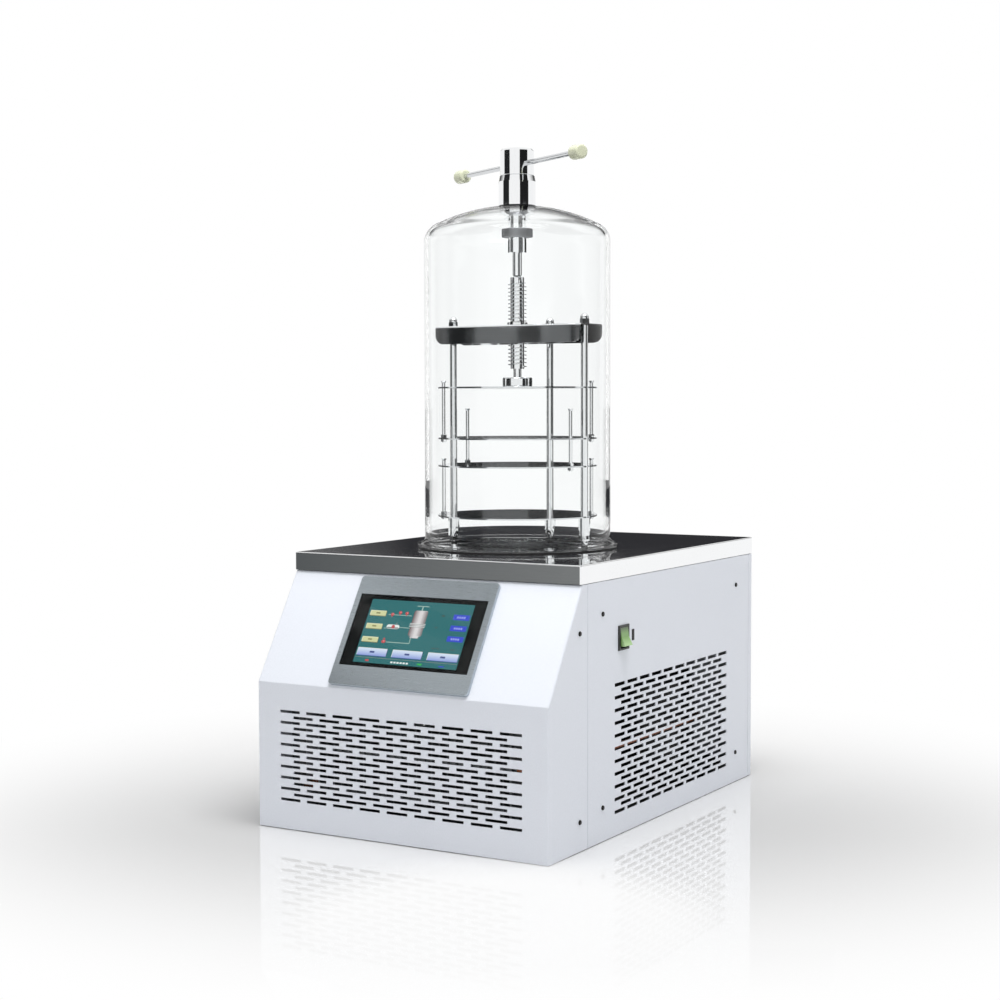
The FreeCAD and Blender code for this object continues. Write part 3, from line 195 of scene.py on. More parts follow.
def flag(name, azimuth, distance, wide, low, high, tone, tone_b=None, along="Z",
         start=0.0, end=1.0, inside=False):
    """Upright cloth flag round the chamber axis that shows only in mirror images. With
    tone_b it fades from one tone to the other along an axis; with inside it shows only
    in the mirrors that stand inside the jar."""
    cloth = bpy.data.materials.new(name + "_black_cloth")
    tree = blank(cloth)
    path = add(tree, "ShaderNodeLightPath")
    bounced = add(tree, "ShaderNodeMath", {0: path.outputs["Glossy Depth"], 1: one_mirror},
                  operation="GREATER_THAN")
    if inside:
        behind = add(tree, "ShaderNodeMath", {0: path.outputs["Transmission Depth"],
                                              1: three_panes}, operation="GREATER_THAN")
        bounced = add(tree, "ShaderNodeMath", {0: bounced.outputs[0], 1: behind.outputs[0]},
                      operation="MULTIPLY")
    clear = add(tree, "ShaderNodeBsdfTransparent")
    place = add(tree, "ShaderNodeTexCoord")
    axes = add(tree, "ShaderNodeSeparateXYZ", {"Vector": place.outputs["Object"]})
    fade = add(tree, "ShaderNodeMapRange", {0: axes.outputs[along], 1: start, 2: end})
    shade = add(tree, "ShaderNodeMix", {0: fade.outputs[0], 6: linear(tone),
                                        7: linear(tone_b or tone)}, data_type="RGBA")
    glow = add(tree, "ShaderNodeEmission", {"Color": shade.outputs[2]})
    mixed = add(tree, "ShaderNodeMixShader", {0: bounced.outputs[0], 1: clear.outputs[0],
                                              2: glow.outputs[0]})
    add(tree, "ShaderNodeOutputMaterial", {"Surface": mixed.outputs[0]})
    bm = bmesh.new()
    bmesh.ops.create_grid(bm, x_segments=1, y_segments=1, size=0.5)
    bmesh.ops.scale(bm, vec=(wide, high - low, 1), verts=bm.verts)
    stood = (Matrix.Translation((0, axis_y, (low + high) / 2))
             @ Matrix.Rotation(math.radians(azimuth - 90), 4, "Z")
             @ Matrix.Translation((0, distance, 0)) @ Matrix.Rotation(math.pi / 2, 4, "X"))
    bmesh.ops.transform(bm, matrix=stood, verts=bm.verts)
    card = new_object(name, bm, cloth)
    card.visible_camera = card.visible_diffuse = card.visible_shadow = False


# wide cards to the left and right, for the jar's fittings, the rods and the worktop's edge
flag("flag_left_low", -126, 1.35, 1.15, 0.06, 0.52, "#585B5C", "#7C7E7E", "X", -0.85, -0.37)
flag("flag_left_rack", -133, 1.35, 1.1, 0.52, 0.84, "#202122")
flag("flag_left_stem", -133, 1.35, 1.1, 0.84, 1.0, "#606162")
flag("flag_left_high", -133, 1.35, 1.1, 1.0, 1.13, "#242526")
flag("flag_left_top", -133, 1.35, 1.1, 1.45, 1.8, "#242526")
flag("flag_right_rack", 3, 1.35, 1.25, 0.5, 0.84, "#202122")
flag("flag_right_stem", -15, 1.35, 1.45, 0.84, 1.0, "#606162")
flag("flag_right_high", -15, 1.35, 1.45, 1.0, 1.8, "#202020")
# narrow cards for the head plate's folded front: grey ones between dark ones
flag("flag_plate_left", -120.4, 1.31, 0.094, 0.6, 0.84, "#5E5F60")
flag("flag_plate_right", -114.5, 1.31, 0.073, 0.6, 0.84, "#6C6D6E")
flag("flag_plate_tip", -125.4, 1.31, 0.02, 0.6, 0.84, "#4A4B4C")
# cards close behind, for the worktop, the shelves and the dark edges of upright rods
flag("flag_behind_low", 120, 0.5, 1.1, 0.372, 0.4365, "#666667", "#303033", "X", -0.56, -0.41)
flag("flag_behind_left", 129.1, 0.506, 0.052, 0.4365, 0.56, "#1C1D1E")
flag("flag_behind_middle", 122.2, 0.5, 0.08, 0.4365, 0.56, "#555657")
flag("flag_behind_right", 112.4, 0.503, 0.1, 0.4365, 0.56, "#1C1D1E")
flag("flag_edge_left", 169.5, 0.52, 0.43, 0.372, 0.86, "#141516", inside=True)
flag("flag_edge_right", 65.5, 0.48, 0.458, 0.372, 0.86, "#141516", inside=True)
# high card far behind, for the right half of the dome
flag("flag_dome", 107, 2.5, 0.9, 1.3, 2.7, "#3A3B3C", "#FFFFFF", "Z", 1.5, 2.7)


# ---- inner frame -----------------------------------------------------------------------
# Folded pan, corner posts and rails of zinc-plated steel sheet, spot welded. They only
# show through the slots. Zinc plate is dull grey with faint crystal spangles.
def surface(name, colour, shade, grain_mm, roughness, uneven=0.1, height_mm=0.0,
            cloud_mm=60.0, stretch=(1, 1, 1), shader=(), cells=False):
    """A finish with a grain of grain_mm, stretched where asked. The grain changes the
    roughness by uneven and stands up to height_mm; clouds of cloud_mm drift the colour
    from colour to shade. shader holds values for the shader's own sockets."""
    material = bpy.data.materials.new(name)
    tree = blank(material)
    place = add(tree, "ShaderNodeTexCoord")
    laid = add(tree, "ShaderNodeMapping", {"Vector": place.outputs["Object"],
                                           "Scale": stretch})
    if cells:
        grain = add(tree, "ShaderNodeTexVoronoi", {"Vector": laid.outputs[0],
                                                   "Scale": 1000 / grain_mm})
        grey = add(tree, "ShaderNodeRGBToBW", {"Color": grain.outputs["Color"]}).outputs[0]
    else:
        grain = add(tree, "ShaderNodeTexNoise", {"Vector": laid.outputs[0], "Detail": 3.0,
                                                 "Scale": 1000 / grain_mm})
        # the noise seldom leaves 0.3 to 0.7
        grey = add(tree, "ShaderNodeMapRange", {0: grain.outputs[0], 1: 0.3,
                                                2: 0.7}).outputs[0]
    cloud = add(tree, "ShaderNodeTexNoise", {"Vector": place.outputs["Object"],
                                             "Scale": 1000 / cloud_mm})
    drift = add(tree, "ShaderNodeMath", {0: cloud.outputs[0], 1: grey},
                operation="MULTIPLY")
    tint = add(tree, "ShaderNodeMix", {0: drift.outputs[0], 6: linear(colour),
                                       7: linear(shade)}, data_type="RGBA")
    rough = add(tree, "ShaderNodeMapRange", {0: grey, 3: roughness * (1 - uneven),
                                             4: roughness * (1 + uneven)})
    sockets = {"Base Color": tint.outputs[2], "Roughness": rough.outputs[0], **dict(shader)}
    if height_mm:
        relief = add(tree, "ShaderNodeBump", {"Height": grey, "Distance": height_mm / 1000})
        sockets["Normal"] = relief.outputs[0]
    skin = add(tree, "ShaderNodeBsdfPrincipled", sockets)
    add(tree, "ShaderNodeOutputMaterial", {"Surface": skin.outputs[0]})
    return material


def dress(material, *names):
    """Gives CAD nodes a finish."""
    for name in names:
        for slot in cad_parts[name].material_slots:
            slot.material = material


zinc = surface("zinc_plated_steel", "#9B9EA1", "#7C8084", 7.0, 0.40, uneven=0.2, cells=True,
               shader={"Metallic": 1.0})
dress(zinc, "base_pan", "posts", "cover_rails", "fan_shroud")

# ---- feet ------------------------------------------------------------------------------
# Low round feet of moulded rubber, screwed under the pan. The mould was bead blasted, so
# the skin is matt with a fine pebble.
rubber = surface("moulded_rubber_black", "#1C1C1D", "#262627", 0.7, 0.72, height_mm=0.03,
                 shader={"Specular IOR Level": 0.3})
dress(rubber, "feet", "compressor_grommets", "drain_cap")

# ---- covers ----------------------------------------------------------------------------
# Slotted covers of folded steel sheet, powder coated in a cool white. The baked coat has
# an orange peel about 2 mm across that softens what it mirrors.
powder_coat = surface("powder_coated_steel_white", "#ECF0F8", "#E6EAF2", 2.2, 0.36,
                      uneven=0.12, height_mm=0.006, cloud_mm=180.0)
dress(powder_coat, "front_cover", "side_panel_right", "side_panel_left", "rear_panel")

# Pan-head screws along the covers' edges, steel with a black oxide finish: a thin dark
# skin over bare steel that stays a little oily.
black_oxide = surface("black_oxide_steel", "#262626", "#37322E", 0.5, 0.36,
                      shader={"Metallic": 1.0})
dress(black_oxide, "cover_screws")

# ---- refrigeration ---------------------------------------------------------------------
# A hermetic compressor and fan motor in baked black enamel, a brazed condenser of
# aluminium fins, and soft copper tube. They show as dark shapes behind the slots.
enamel = surface("baked_black_enamel", "#17181A", "#202124", 1.2, 0.28, height_mm=0.01)
dress(enamel, "compressor", "fan_motor")
fins = surface("rolled_aluminium_fins", "#8B8E90", "#6F7274", 1.5, 0.42, uneven=0.2,
               stretch=(1, 1, 0.05), shader={"Metallic": 1.0})
dress(fins, "condenser")
copper = surface("drawn_copper_tube", "#C4805E", "#8F573F", 4.0, 0.32, uneven=0.3,
                 shader={"Metallic": 1.0})
dress(copper, "cooling_jacket", "suction_pipe", "liquid_pipe", "discharge_pipe")
nylon = surface("moulded_nylon_black", "#161617", "#1E1E1F", 0.6, 0.48, height_mm=0.01)
dress(nylon, "fan_rotor")
grey_abs = surface("moulded_abs_grey", "#B3B5B8", "#A9ABAE", 0.8, 0.46, height_mm=0.01)
dress(grey_abs, "control_box")

# ---- cold trap -------------------------------------------------------------------------
# Welded stainless pot with a rolled flange, its vacuum and drain pipes, wrapped in
# poured foam. The sheet is brushed round, which stretches highlights along it.
satin_steel = surface("brushed_stainless", "#C6C8CA", "#B2B4B6", 0.5, 0.24, uneven=0.25,
                      stretch=(0.08, 0.08, 1), shader={"Metallic": 1.0})
dress(satin_steel, "cold_trap", "vacuum_port", "drain_elbow", "drain_pipe")
foam = surface("poured_polyurethane_foam", "#D9CFA6", "#B8A877", 3.0, 0.9, height_mm=0.8)
dress(foam, "trap_foam")

# ---- mains inlet -----------------------------------------------------------------------
# Appliance inlet of glass-filled nylon, snapped into the rear panel: dull black with a
# very fine sparkle of fibre.
inlet_nylon = surface("glass_filled_nylon_black", "#151516", "#232324", 0.4, 0.55,
                      uneven=0.3, height_mm=0.01)
dress(inlet_nylon, "power_inlet", "blanking_plug")

# ---- power switch ----------------------------------------------------------------------
# Snap-in rocker switch on the right side: a grey-black nylon frame round a translucent
# green rocker whose lower end stands out. Its colour has painted shade on the upper end,
# sunk in the frame, and a painted highlight on the proud lower tip.
switch_nylon = surface("moulded_nylon_grey_black", "#1E231E", "#191D19", 0.6, 0.36,
                       height_mm=0.008)
dress(switch_nylon, "switch_housing")
polycarbonate = bpy.data.materials.new("green_polycarbonate_painted_shade_and_highlight")
tree = blank(polycarbonate)
tip_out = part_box("power_rocker")[1].x
painted_shade_end, green_start, green_end, painted_highlight_start = 0.0072, 0.0058, 0.0056, 0.001  # behind tip_out
place = add(tree, "ShaderNodeTexCoord")
axes = add(tree, "ShaderNodeSeparateXYZ", {"Vector": place.outputs["Object"]})
# painted shade darkens the sunk upper end; a painted highlight pales the proud tip
sunk = add(tree, "ShaderNodeMapRange", {0: axes.outputs["X"], 1: tip_out - painted_shade_end,
                                        2: tip_out - green_start},
           interpolation_type="SMOOTHSTEP")
proud = add(tree, "ShaderNodeMapRange", {0: axes.outputs["X"], 1: tip_out - green_end,
                                         2: tip_out - painted_highlight_start})
body = add(tree, "ShaderNodeMix", {0: sunk.outputs[0], 6: linear("#4A5A3C"),
                                   7: linear("#7FA862")}, data_type="RGBA")
tone = add(tree, "ShaderNodeMix", {0: proud.outputs[0], 6: body.outputs[2],
                                   7: linear("#B2D49A")}, data_type="RGBA")
moulded = add(tree, "ShaderNodeBsdfPrincipled", {"Base Color": tone.outputs[2],
                                                 "Roughness": 0.3, "IOR": 1.58})
add(tree, "ShaderNodeOutputMaterial", {"Surface": moulded.outputs[0]})
dress(polycarbonate, "power_rocker")

# ---- screen bezel ----------------------------------------------------------------------
# Cast frame of the touch screen, bolted from inside on the sloping face. Its aluminium
# is linished along its length and clear anodised, so it shines as a soft grey.
anodised = surface("linished_anodised_aluminium", "#BFC8CE", "#B1BAC0", 0.4, 0.30,
                   uneven=0.15, height_mm=0.002, stretch=(0.02, 1, 1),
                   shader={"Metallic": 1.0})
dress(anodised, "screen_bezel")

# ---- display ---------------------------------------------------------------------------
# Lit picture of the controller, behind the glass: soft keys, valves, a pump and the
# chamber with its readings, each a coloured film. No lettering; dashes mark the labels.
front_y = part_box("front_cover")[0].y
front_rise, slope_run, slope_rise = 0.1985, 89.2, 144.0
slope_foot = Vector((0, front_y, front_rise))            # fold at the slope's lower edge
up = Vector((0, slope_run, slope_rise)).normalized()
out = Vector((0, -up.z, up.y))
slope = Matrix((Vector((1, 0, 0)), up, out)).transposed().to_4x4()
slope.translation = slope_foot
picture_wide, picture_high = 0.1606, 0.0928
picture_low, picture_lift = 0.0381, 0.00272              # up the slope, out from it
film = 0.00002

casing_black = surface("black_polycarbonate_bezel", "#0B0C0D", "#101112", 1.0, 0.3)
dress(casing_black, "display_module")


def lit(name, colour, colour_b=None, along=None, start=0.0, end=1.0):
    """Backlit film. With colour_b it fades to that along an axis: up along Z, and along
    X there and back."""
    material = bpy.data.materials.new(name)
    tree = blank(material)
    place = add(tree, "ShaderNodeTexCoord")
    speck_mm, speck_share = 1.2, 0.06
    speck = add(tree, "ShaderNodeTexNoise", {"Vector": place.outputs["Object"],
                                             "Scale": 1000 / speck_mm})
    fade = add(tree, "ShaderNodeMapRange", {0: speck.outputs[0], 3: 0.0, 4: speck_share})
    far = linear(colour_b or "#FFFFFF")
    if colour_b:
        axes = add(tree, "ShaderNodeSeparateXYZ", {"Vector": place.outputs["Object"]})
        fade = add(tree, "ShaderNodeMapRange", {0: axes.outputs[along], 1: start, 2: end})
        if along == "X":
            fade = add(tree, "ShaderNodeMath", {0: fade.outputs[0], 1: 1.0},
                       operation="PINGPONG")
    tint = add(tree, "ShaderNodeMix", {0: fade.outputs[0], 6: linear(colour), 7: far},
               data_type="RGBA")
    skin = add(tree, "ShaderNodeBsdfPrincipled", {"Base Color": linear("#000000"),
                                                  "Roughness": 0.5,
                                                  "Specular IOR Level": 0.0,
                                                  "Emission Color": tint.outputs[2],
                                                  "Emission Strength": 1.0})
    add(tree, "ShaderNodeOutputMaterial", {"Surface": skin.outputs[0]})
    return material


tones = {}
picture = bmesh.new()


def shape(tone, layer, x, y, wide, high, corner=0.0, round_shape=False):
    """One closed film of the picture, in mm from the middle of its lower edge."""
    one = bmesh.new()
    if round_shape:
        bmesh.ops.create_circle(one, cap_ends=True, segments=24, radius=0.5)
    else:
        bmesh.ops.create_grid(one, x_segments=1, y_segments=1, size=0.5)
    bmesh.ops.scale(one, vec=(wide, high, 1), verts=one.verts)
    if corner:
        bmesh.ops.bevel(one, geom=one.verts[:], offset=corner, affect="VERTICES",
                        segments=4, profile=0.5, material=-1)
    for face in one.faces:
        face.material_index = list(tones).index(tone)
    raised = bmesh.ops.extrude_face_region(one, geom=one.faces[:])
    tops = [v for v in raised["geom"] if isinstance(v, bmesh.types.BMVert)]
    bmesh.ops.translate(one, vec=(0, 0, 1), verts=tops)
    bmesh.ops.transform(one, verts=one.verts, matrix=(
        slope @ Matrix.Translation((x / 1000, picture_low + y / 1000,
                                    picture_lift + layer * film))
        @ Matrix.Diagonal((0.001, 0.001, film, 1))))
    bmesh.ops.recalc_face_normals(one, faces=one.faces)
    scratch = bpy.data.meshes.new("scratch")
    one.to_mesh(scratch)
    one.free()
    picture.from_mesh(scratch)
    bpy.data.meshes.remove(scratch)


key_foot, key_head = 0.0107, 0.0213                      # of the main keys, up the picture
key_low = slope @ Vector((0, picture_low + key_foot, 0))
key_high = slope @ Vector((0, picture_low + key_head, 0))
tones["teal"] = lit("backlit_teal", "#1A6C70")
tones["cream"] = lit("backlit_cream", "#D9D9A4")
tones["cream_light"] = lit("backlit_cream_light", "#F3F2CF")
tones["olive"] = lit("backlit_olive", "#8B8A57")
tones["dark"] = lit("backlit_dark_green", "#35524C")
tones["red"] = lit("backlit_red", "#C8474B")
tones["pink"] = lit("backlit_pink", "#E89A9C")
tones["pipe"] = lit("backlit_pale_green", "#A9C6BC")
tones["white"] = lit("backlit_white", "#F2F5F4")
tones["grey"] = lit("backlit_grey", "#8E9392")
tones["vessel"] = lit("backlit_vessel", "#6E5759", "#E6E0E1", "X", -0.0085, 0.001)
tones["vessel_shade"] = lit("backlit_vessel_shade", "#E2DCDD", "#8E8486", "X", 0.0045, 0.0115)
tones["blue"] = lit("backlit_blue", "#2F47D2")
tones["pale_blue"] = lit("backlit_pale_blue", "#A9B4F0")
tones["key"] = lit("backlit_key", "#7C93DD", "#DCE6FB", "Z", key_low.z, key_high.z)
tones["navy"] = lit("backlit_navy", "#3C4C8C")
tones["green"] = lit("backlit_green", "#2FC24A")

shape("teal", 0, 0, 46.4, 160.6, 92.8)
for y in (72.6, 53.4, 34.0):                             # cream soft keys, left
    shape("olive", 1, -64.2, y - 0.5, 25.4, 7.6)
    shape("cream_light", 2, -64.8, y + 0.3, 25.0, 7.2)
    shape("cream", 3, -64.4, y, 24.0, 6.4)
    shape("olive", 4, -64.6, y + 0.2, 6.5, 2.0, 0.5)
for y in (73.8, 58.0, 42.7):                             # blue readings, right
    shape("blue", 1, 65.2, y, 24.6, 7.8)
    for i in range(4):
        shape("pale_blue", 2, 59.8 + 3.4 * i, y, 2.2, 2.6, 0.4)
for x in (-55.0, 0.0, 55.0):                             # main keys along the bottom
    shape("navy", 1, x + 0.5, 15.5, 46.4, 11.0)
    shape("white", 2, x - 0.3, 16.4, 46.2, 10.8)
    shape("key", 3, x, 16.0, 45.4, 10.2)
    shape("navy", 4, x, 16.2, 7.5, 2.6, 0.6)
shape("pipe", 1, -29.5, 71.6, 37.0, 0.9)                 # upper line and its three valves
for x, y in ((-41.5, 72.1), (-30.0, 75.2), (-19.5, 74.8)):
    shape("red", 2, x, y, 5.2, 4.6, round_shape=True)
    shape("pink", 3, x + 0.4, y + 0.6, 2.0, 1.8, round_shape=True)
    shape("red", 1, x, y - 1.6, 1.0, 5.0)
shape("pipe", 1, -17.0, 53.9, 17.0, 0.8)                 # middle line and its pump
shape("white", 2, -35.0, 54.2, 20.0, 6.2, 3.0)
shape("grey", 3, -35.0, 52.6, 18.0, 2.2, 1.0)
shape("red", 4, -34.6, 54.4, 5.4, 5.0, round_shape=True)
shape("grey", 1, -30.5, 58.6, 1.0, 4.0)
shape("pipe", 1, -46.5, 51.6, 4.0, 0.9)
shape("pipe", 1, -20.0, 31.9, 36.0, 1.0)                 # lower line to the vessel's foot
shape("pipe", 1, -2.3, 36.5, 1.0, 9.6)
shape("red", 2, -42.6, 32.4, 6.4, 5.0, round_shape=True)
shape("pink", 3, -42.2, 33.0, 2.2, 1.8, round_shape=True)
shape("red", 2, -42.6, 36.4, 2.6, 2.4, round_shape=True)
shape("vessel", 2, 2.0, 61.4, 21.0, 37.0, 2.5)           # chamber with its press handle
shape("vessel", 2, 2.0, 42.0, 13.0, 4.0)
shape("vessel_shade", 3, 8.6, 61.4, 7.8, 36.0, 2.0)
for i in range(3):
    shape("white", 3, 2.0, 56.6 + 2.1 * i, 24.5, 0.6)
    shape("grey", 3, 2.0, 56.0 + 2.1 * i, 23.5, 0.5)
shape("pipe", 1, 2.2, 83.0, 1.8, 7.0)
shape("pipe", 2, 2.2, 86.3, 18.5, 1.1, 0.5)
shape("dark", 1, 37.0, 74.6, 5.5, 2.4, 0.8)
shape("dark", 1, 31.5, 57.3, 4.5, 2.0, 0.8)
for x, wide in ((36.6, 6.0), (43.5, 5.0), (65.8, 6.5)):
    shape("dark", 1, x, 27.8, wide, 1.6, 0.5)
shape("grey", 1, 0, 8.0, 158.0, 0.5)                     # status row
shape("red", 1, -59.0, 4.0, 5.5, 2.8, 0.4)
for i in range(6):
    shape("white", 1, -20.0 + 4.8 * i, 3.6, 3.4, 2.4, 0.4)
shape("green", 1, 23.2, 3.8, 7.0, 2.2, 0.4)
shape("blue", 1, 56.8, 3.2, 8.0, 1.6, 0.4)
display = new_object("display_picture", picture, *tones.values())
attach(display, "casing")

# ---- screen glass ----------------------------------------------------------------------
# Flat touch glass bonded into the bezel, ground round its edges, with a black border
# printed on its back. An anti-glare coat keeps its shine low.
glass_wide, glass_high = 0.199, 0.105
glass_middle = picture_low + picture_high / 2 + 0.00015
border_lift, glass_back, glass_face = 0.00292, 0.00296, 0.0047        # out from the slope
ground_edge, smear_mm = 0.0004, 25
ink = surface("screen_printed_black", "#08090A", "#0D0E0F", 1.0, 0.4,
              shader={"Specular IOR Level": 0.0})
bm = bmesh.new()
bmesh.ops.create_grid(bm, x_segments=1, y_segments=1, size=0.5)
bmesh.ops.scale(bm, vec=(picture_wide, picture_high, 1), verts=bm.verts)
window = bm.faces[:]
rim = bmesh.ops.extrude_face_region(bm, geom=window, use_keep_orig=True)
bmesh.ops.scale(bm, vec=(glass_wide / picture_wide, glass_high / picture_high, 1),
                verts=[v for v in rim["geom"] if isinstance(v, bmesh.types.BMVert)])
bmesh.ops.delete(bm, geom=window + [f for f in rim["geom"]
                                    if isinstance(f, bmesh.types.BMFace)],
                 context="FACES_ONLY")
back = bmesh.ops.extrude_face_region(bm, geom=bm.faces[:])
bmesh.ops.translate(bm, vec=(0, 0, film),
                    verts=[v for v in back["geom"] if isinstance(v, bmesh.types.BMVert)])
bmesh.ops.recalc_face_normals(bm, faces=bm.faces)
bmesh.ops.transform(bm, matrix=slope @ Matrix.Translation((0, glass_middle, border_lift)),
                    verts=bm.verts)
border = new_object("screen_border", bm, ink)
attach(border, "casing")

touch_glass = bpy.data.materials.new("float_glass_anti_glare")
tree = blank(touch_glass)
path = add(tree, "ShaderNodeLightPath")
place = add(tree, "ShaderNodeTexCoord")
smear = add(tree, "ShaderNodeTexNoise", {"Vector": place.outputs["Object"],
                                         "Scale": 1000 / smear_mm})
rough = add(tree, "ShaderNodeMapRange", {0: smear.outputs[0], 1: 0.35, 2: 0.65, 3: 0.0,
                                         4: 0.012})
coated = add(tree, "ShaderNodeBsdfPrincipled", {"Base Color": linear("#F2F6F5"),
                                                "Roughness": rough.outputs[0],
                                                "IOR": 1.2, "Transmission Weight": 1.0})
through = add(tree, "ShaderNodeBsdfTransparent")
mixed = add(tree, "ShaderNodeMixShader", {0: path.outputs["Is Shadow Ray"],
                                          1: coated.outputs[0], 2: through.outputs[0]})
add(tree, "ShaderNodeOutputMaterial", {"Surface": mixed.outputs[0]})
bm = bmesh.new()
bmesh.ops.create_cube(bm, size=1.0)
bmesh.ops.scale(bm, vec=(glass_wide, glass_high, glass_face - glass_back), verts=bm.verts)
bmesh.ops.bevel(bm, geom=[e for e in bm.edges if e.verts[0].co.z == e.verts[1].co.z > 0],
                offset=ground_edge, affect="EDGES", segments=3, profile=0.5, material=-1)
bmesh.ops.transform(bm, verts=bm.verts, matrix=slope @ Matrix.Translation(
    (0, glass_middle, (glass_back + glass_face) / 2)))
pane = new_object("screen_pane", bm, touch_glass, smooth=30)
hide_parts("screen_glass")
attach(pane, "casing")

# ---- worktop ---------------------------------------------------------------------------
# Tray-shaped top of stainless sheet, folded down on all sides and mirror polished: it
# has no colour of its own and takes the dark or light of what it faces.
mirror_steel = surface("mirror_polished_stainless", "#F6F7F8", "#F0F1F2", 2.0, 0.05,
                       uneven=0.3, stretch=(0.1, 1, 1), shader={"Metallic": 1.0})
dress(mirror_steel, "worktop")

# ---- shelf rack ------------------------------------------------------------------------
# Three polished columns on rubber tips, screwed to a folded head plate with domed nuts.
# Sleeves on the columns carry the bottom shelf.
bright_steel = surface("polished_stainless_rod", "#EEEFF0", "#E2E3E4", 0.8, 0.02,
                       uneven=0.3, stretch=(1, 1, 0.1), shader={"Metallic": 1.0})
dress(bright_steel, "columns", "column_sleeves", "cap_nuts")
dress(rubber, "column_tips")
dress(mirror_steel, "bridge_plate")

# Round shelves laser cut from stainless sheet and deburred, hung on turned link rods so
# that one follows another down. Their faces are fine ground and mirror at a low angle.
ground_steel = surface("fine_ground_stainless", "#D9DBDD", "#C9CBCD", 0.6, 0.10, uneven=0.3,
                       stretch=(0.05, 1, 1), shader={"Metallic": 1.0})
dress(ground_steel, "shelf_1", "shelf_2", "shelf_3", "shelf_4")
dress(bright_steel, "links_upper", "links_middle", "links_lower")


# ---- press -----------------------------------------------------------------------------
# Threaded spindle that presses on the top shelf through a turning foot, in a flanged
# nut under the head plate. The thread is cut with flat crests and polished after.
def draw(bm, start, *steps):
    """Draws a profile from start, (radius, height) in mm. A step is a point to run
    straight to, or (centre radius, centre height, degrees clockwise, segments)."""
    tip = bm.verts.new((start[0] / 1000, 0, start[1] / 1000))
    for step in steps:
        if len(step) == 2:
            tip = bmesh.ops.extrude_vert_indiv(bm, verts=[tip])["verts"][0]
            tip.co = (step[0] / 1000, 0, step[1] / 1000)
        else:
            swung = bmesh.ops.spin(bm, geom=[tip], axis=(0, 1, 0), steps=step[3],
                                   cent=(step[0] / 1000, 0, step[1] / 1000),
                                   angle=math.radians(step[2]))
            tip = swung["geom_last"][0]


def turn(bm, segments=96, place=Matrix.Translation((0, axis_y, 0))):
    """Turns the drawn profile into a closed solid, and puts it in place."""
    bmesh.ops.spin(bm, geom=bm.verts[:] + bm.edges[:], cent=(0, 0, 0), axis=(0, 0, 1),
                   angle=math.tau, steps=segments, use_merge=True)
    bmesh.ops.remove_doubles(bm, verts=bm.verts, dist=1e-6)
    bmesh.ops.recalc_face_normals(bm, faces=bm.faces)
    bmesh.ops.transform(bm, matrix=place, verts=bm.verts)


spindle_low, spindle_high = 623.0, 754.0
neck_low, neck, socket, socket_deep = 601.0, 5.8, 7.2, 58
root, crest, pitch, turn_steps = 9.9, 13.5, 5.4, 40
sunk, flank, plain_ends = root - 0.4, root + 0.3, 8      # plain_ends has no thread
tooth = [spindle_low + rise for rise in (2.0, 2.7, 3.4, 4.1)]         # corners' heights
bm = bmesh.new()
draw(bm, (0, neck_low), (neck, neck_low), (neck, spindle_low), (root, spindle_low),
     (root, spindle_high - 1), (root - 1, spindle_high), (socket, spindle_high),
     (socket, spindle_high - socket_deep), (0, spindle_high - socket_deep))
turn(bm, 64)
thread = bmesh.new()
draw(thread, (sunk, tooth[0]), (flank, tooth[0]), (crest, tooth[1]), (crest, tooth[2]),
     (flank, tooth[3]), (sunk, tooth[3]))
bmesh.ops.contextual_create(thread, geom=thread.verts[:])
turns = int((spindle_high - spindle_low - plain_ends) / pitch)
bmesh.ops.translate(thread, vec=(0, axis_y, 0), verts=thread.verts)
bmesh.ops.spin(thread, geom=thread.verts[:] + thread.edges[:] + thread.faces[:],
               cent=(0, axis_y, 0), axis=(0, 0, 1), angle=math.tau * turns,
               steps=turn_steps * turns, dvec=(0, 0, pitch / turn_steps / 1000))
bmesh.ops.recalc_face_normals(thread, faces=thread.faces)
coil = bpy.data.meshes.new("coil")
thread.to_mesh(coil)
thread.free()
bm.from_mesh(coil)
bpy.data.meshes.remove(coil)
spindle = new_object("press_screw", bm, bright_steel, smooth=35)
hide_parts("press_spindle")
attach(spindle, "spindle")
dress(bright_steel, "press_bush", "presser_foot")

# ---- bell jar --------------------------------------------------------------------------
# One piece of borosilicate glass: blown dome with a rounded shoulder, thick ground foot
# and a flared lip that rests on a flat rubber seal. Clear, with dark lines at its edges.
outer, wall, apex = 133.0, 6.0, 855.0
crown, knuckle = 266.0, 26.6
lean = math.degrees(math.asin((outer - knuckle) / (crown - knuckle)))   # of the crown's rim
knuckle_z = apex - crown + (crown - knuckle) * math.cos(math.radians(lean))
hole, flat, flat_r = 12.5, 853.6, 27.25
jar_foot = 370.0
lip, lip_centre, lip_top, lip_turn, edge = 144.0, 143.2, 4, 3.2, 0.8  # heights over jar_foot
flare, flare_top = 9, 13
ground, ground_centre, ground_top, bore_low = 122.0, 122.8, 13.5, 19  # the foot's inside
inner_crown = crown - wall
hole_lean = math.degrees(math.asin(hole / inner_crown))
bm = bmesh.new()
draw(bm, (hole, flat), (flat_r, flat),
     (0, apex - crown, lean - math.degrees(math.asin(flat_r / crown)), 28),
     (outer - knuckle, knuckle_z, 90 - lean, 16),
     (outer, jar_foot + flare_top), (outer + flare, jar_foot + flare_top, -90, 8),
     (lip_centre, jar_foot + lip_top), (lip_centre, jar_foot + lip_turn, 90, 3),
     (lip, jar_foot + edge), (lip_centre, jar_foot + edge, 90, 3),
     (ground_centre, jar_foot), (ground_centre, jar_foot + edge, 90, 3),
     (ground, jar_foot + ground_top), (outer - wall, jar_foot + bore_low),
     (outer - wall, knuckle_z),
     (outer - knuckle, knuckle_z, -(90 - lean), 12),
     (0, apex - crown, -(lean - hole_lean), 28), (hole, flat))
turn(bm, 192)
jar_glass = bpy.data.materials.new("borosilicate_glass_clear")
tree = blank(jar_glass)
path = add(tree, "ShaderNodeLightPath")
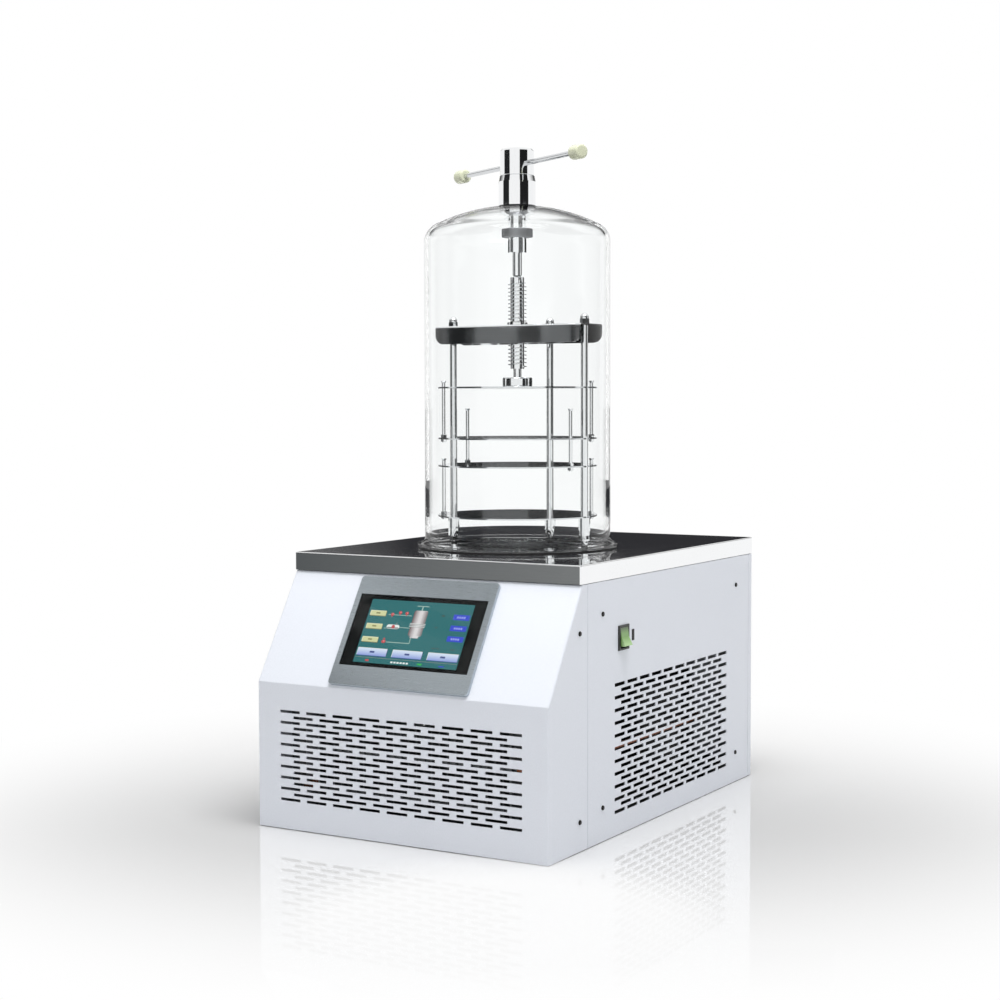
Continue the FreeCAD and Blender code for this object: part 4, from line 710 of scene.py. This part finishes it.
place = add(tree, "ShaderNodeTexCoord")
# blown glass is faintly wavy
ripple_mm, ripple_high = 40, 0.00003
ripple = add(tree, "ShaderNodeTexNoise", {"Vector": place.outputs["Object"],
                                          "Scale": 1000 / ripple_mm, "Detail": 1.0})
relief = add(tree, "ShaderNodeBump", {"Height": ripple.outputs[0], "Distance": ripple_high})
# the wall greys and mirrors less where it is seen edge on
grey_start, mirror_full, mirror_weak, weak_coat = 0.74, 0.6, 0.95, 0.15
facing = add(tree, "ShaderNodeLayerWeight", {"Blend": 0.5})
depth = add(tree, "ShaderNodeMapRange", {0: facing.outputs["Facing"], 1: grey_start,
                                         2: 1.0})
tint = add(tree, "ShaderNodeMix", {0: depth.outputs[0], 6: linear("#FDFEFE"),
                                   7: linear("#A6A8A9")}, data_type="RGBA")
polish = add(tree, "ShaderNodeMapRange", {0: facing.outputs["Facing"], 1: mirror_full,
                                          2: mirror_weak, 3: 1.0, 4: weak_coat})
blown = add(tree, "ShaderNodeBsdfPrincipled", {"Base Color": tint.outputs[2],
                                               "Roughness": 0.0, "IOR": 1.04,
                                               "Transmission Weight": 1.0,
                                               "Coat Weight": polish.outputs[0],
                                               "Coat IOR": 1.22, "Coat Roughness": 0.0,
                                               "Normal": relief.outputs[0]})
through = add(tree, "ShaderNodeBsdfTransparent", {"Color": linear("#FAFBFB")})
mixed = add(tree, "ShaderNodeMixShader", {0: path.outputs["Is Shadow Ray"],
                                          1: blown.outputs[0], 2: through.outputs[0]})
add(tree, "ShaderNodeOutputMaterial", {"Surface": mixed.outputs[0]})
jar = new_object("glass_bell_jar", bm, jar_glass, smooth=30)
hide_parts("bell_jar")
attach(jar, "casing")
dress(rubber, "jar_seal", "gland_washer", "shaft_seal")

# ---- gland and handle ------------------------------------------------------------------
# Turned and polished housing through the dome, with its seal and nuts, and a round boss
# above it that the cross bar goes through. The mirror finish shows the studio as stripes.
chrome = surface("mirror_polished_turned_steel", "#F3F4F5", "#EDEEEF", 1.0, 0.035,
                 uneven=0.3, stretch=(1, 1, 0.1), shader={"Metallic": 1.0})
dress(chrome, "gland_body", "gland_cone_nut", "handle_boss", "handle_shaft")
blasted = surface("bead_blasted_stainless", "#8C8D8F", "#7F8082", 0.6, 0.5, height_mm=0.01,
                  shader={"Metallic": 1.0})
dress(blasted, "gland_lock_nut")
drawn_bar = surface("drawn_stainless_bar", "#DADCDE", "#C6C8CA", 0.6, 0.14, uneven=0.3,
                    stretch=(0.1, 0.1, 1), shader={"Metallic": 1.0})
dress(drawn_bar, "handle_bar")

# Barrel knobs of cast phenolic resin on the ends of the bar, tumble polished to a soft
# shine. The cream has faint darker clouds.
bar_level, bar_turn, knob_at = 0.9128, math.radians(-28.9), 0.1575
bore, bore_deep, rim, belly, shoulder, half = 3.6, 6.0, 7.0, 10.0, 8.0, 11.0
resin = surface("cast_phenolic_cream", "#D3D6BD", "#CBCFB2", 1.2, 0.2, cloud_mm=22.0)
for side, name in ((0, "knob_right"), (math.pi, "knob_left")):
    bm = bmesh.new()
    draw(bm, (bore, -half), (rim, -half), (rim, -shoulder, -90, 8), (belly, shoulder),
         (rim, shoulder, -90, 8), (0, half), (0, bore_deep), (bore, bore_deep), (bore, -half))
    turn(bm, 64, place=(Matrix.Translation((0, axis_y, bar_level))
                        @ Matrix.Rotation(bar_turn + side, 4, "Z")
                        @ Matrix.Translation((knob_at, 0, 0))
                        @ Matrix.Rotation(math.pi / 2, 4, "Y")))
    knob = new_object(name, bm, resin, smooth=35)
    if name == "knob_right":
        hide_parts("handle_knobs")
    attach(knob, "handle")
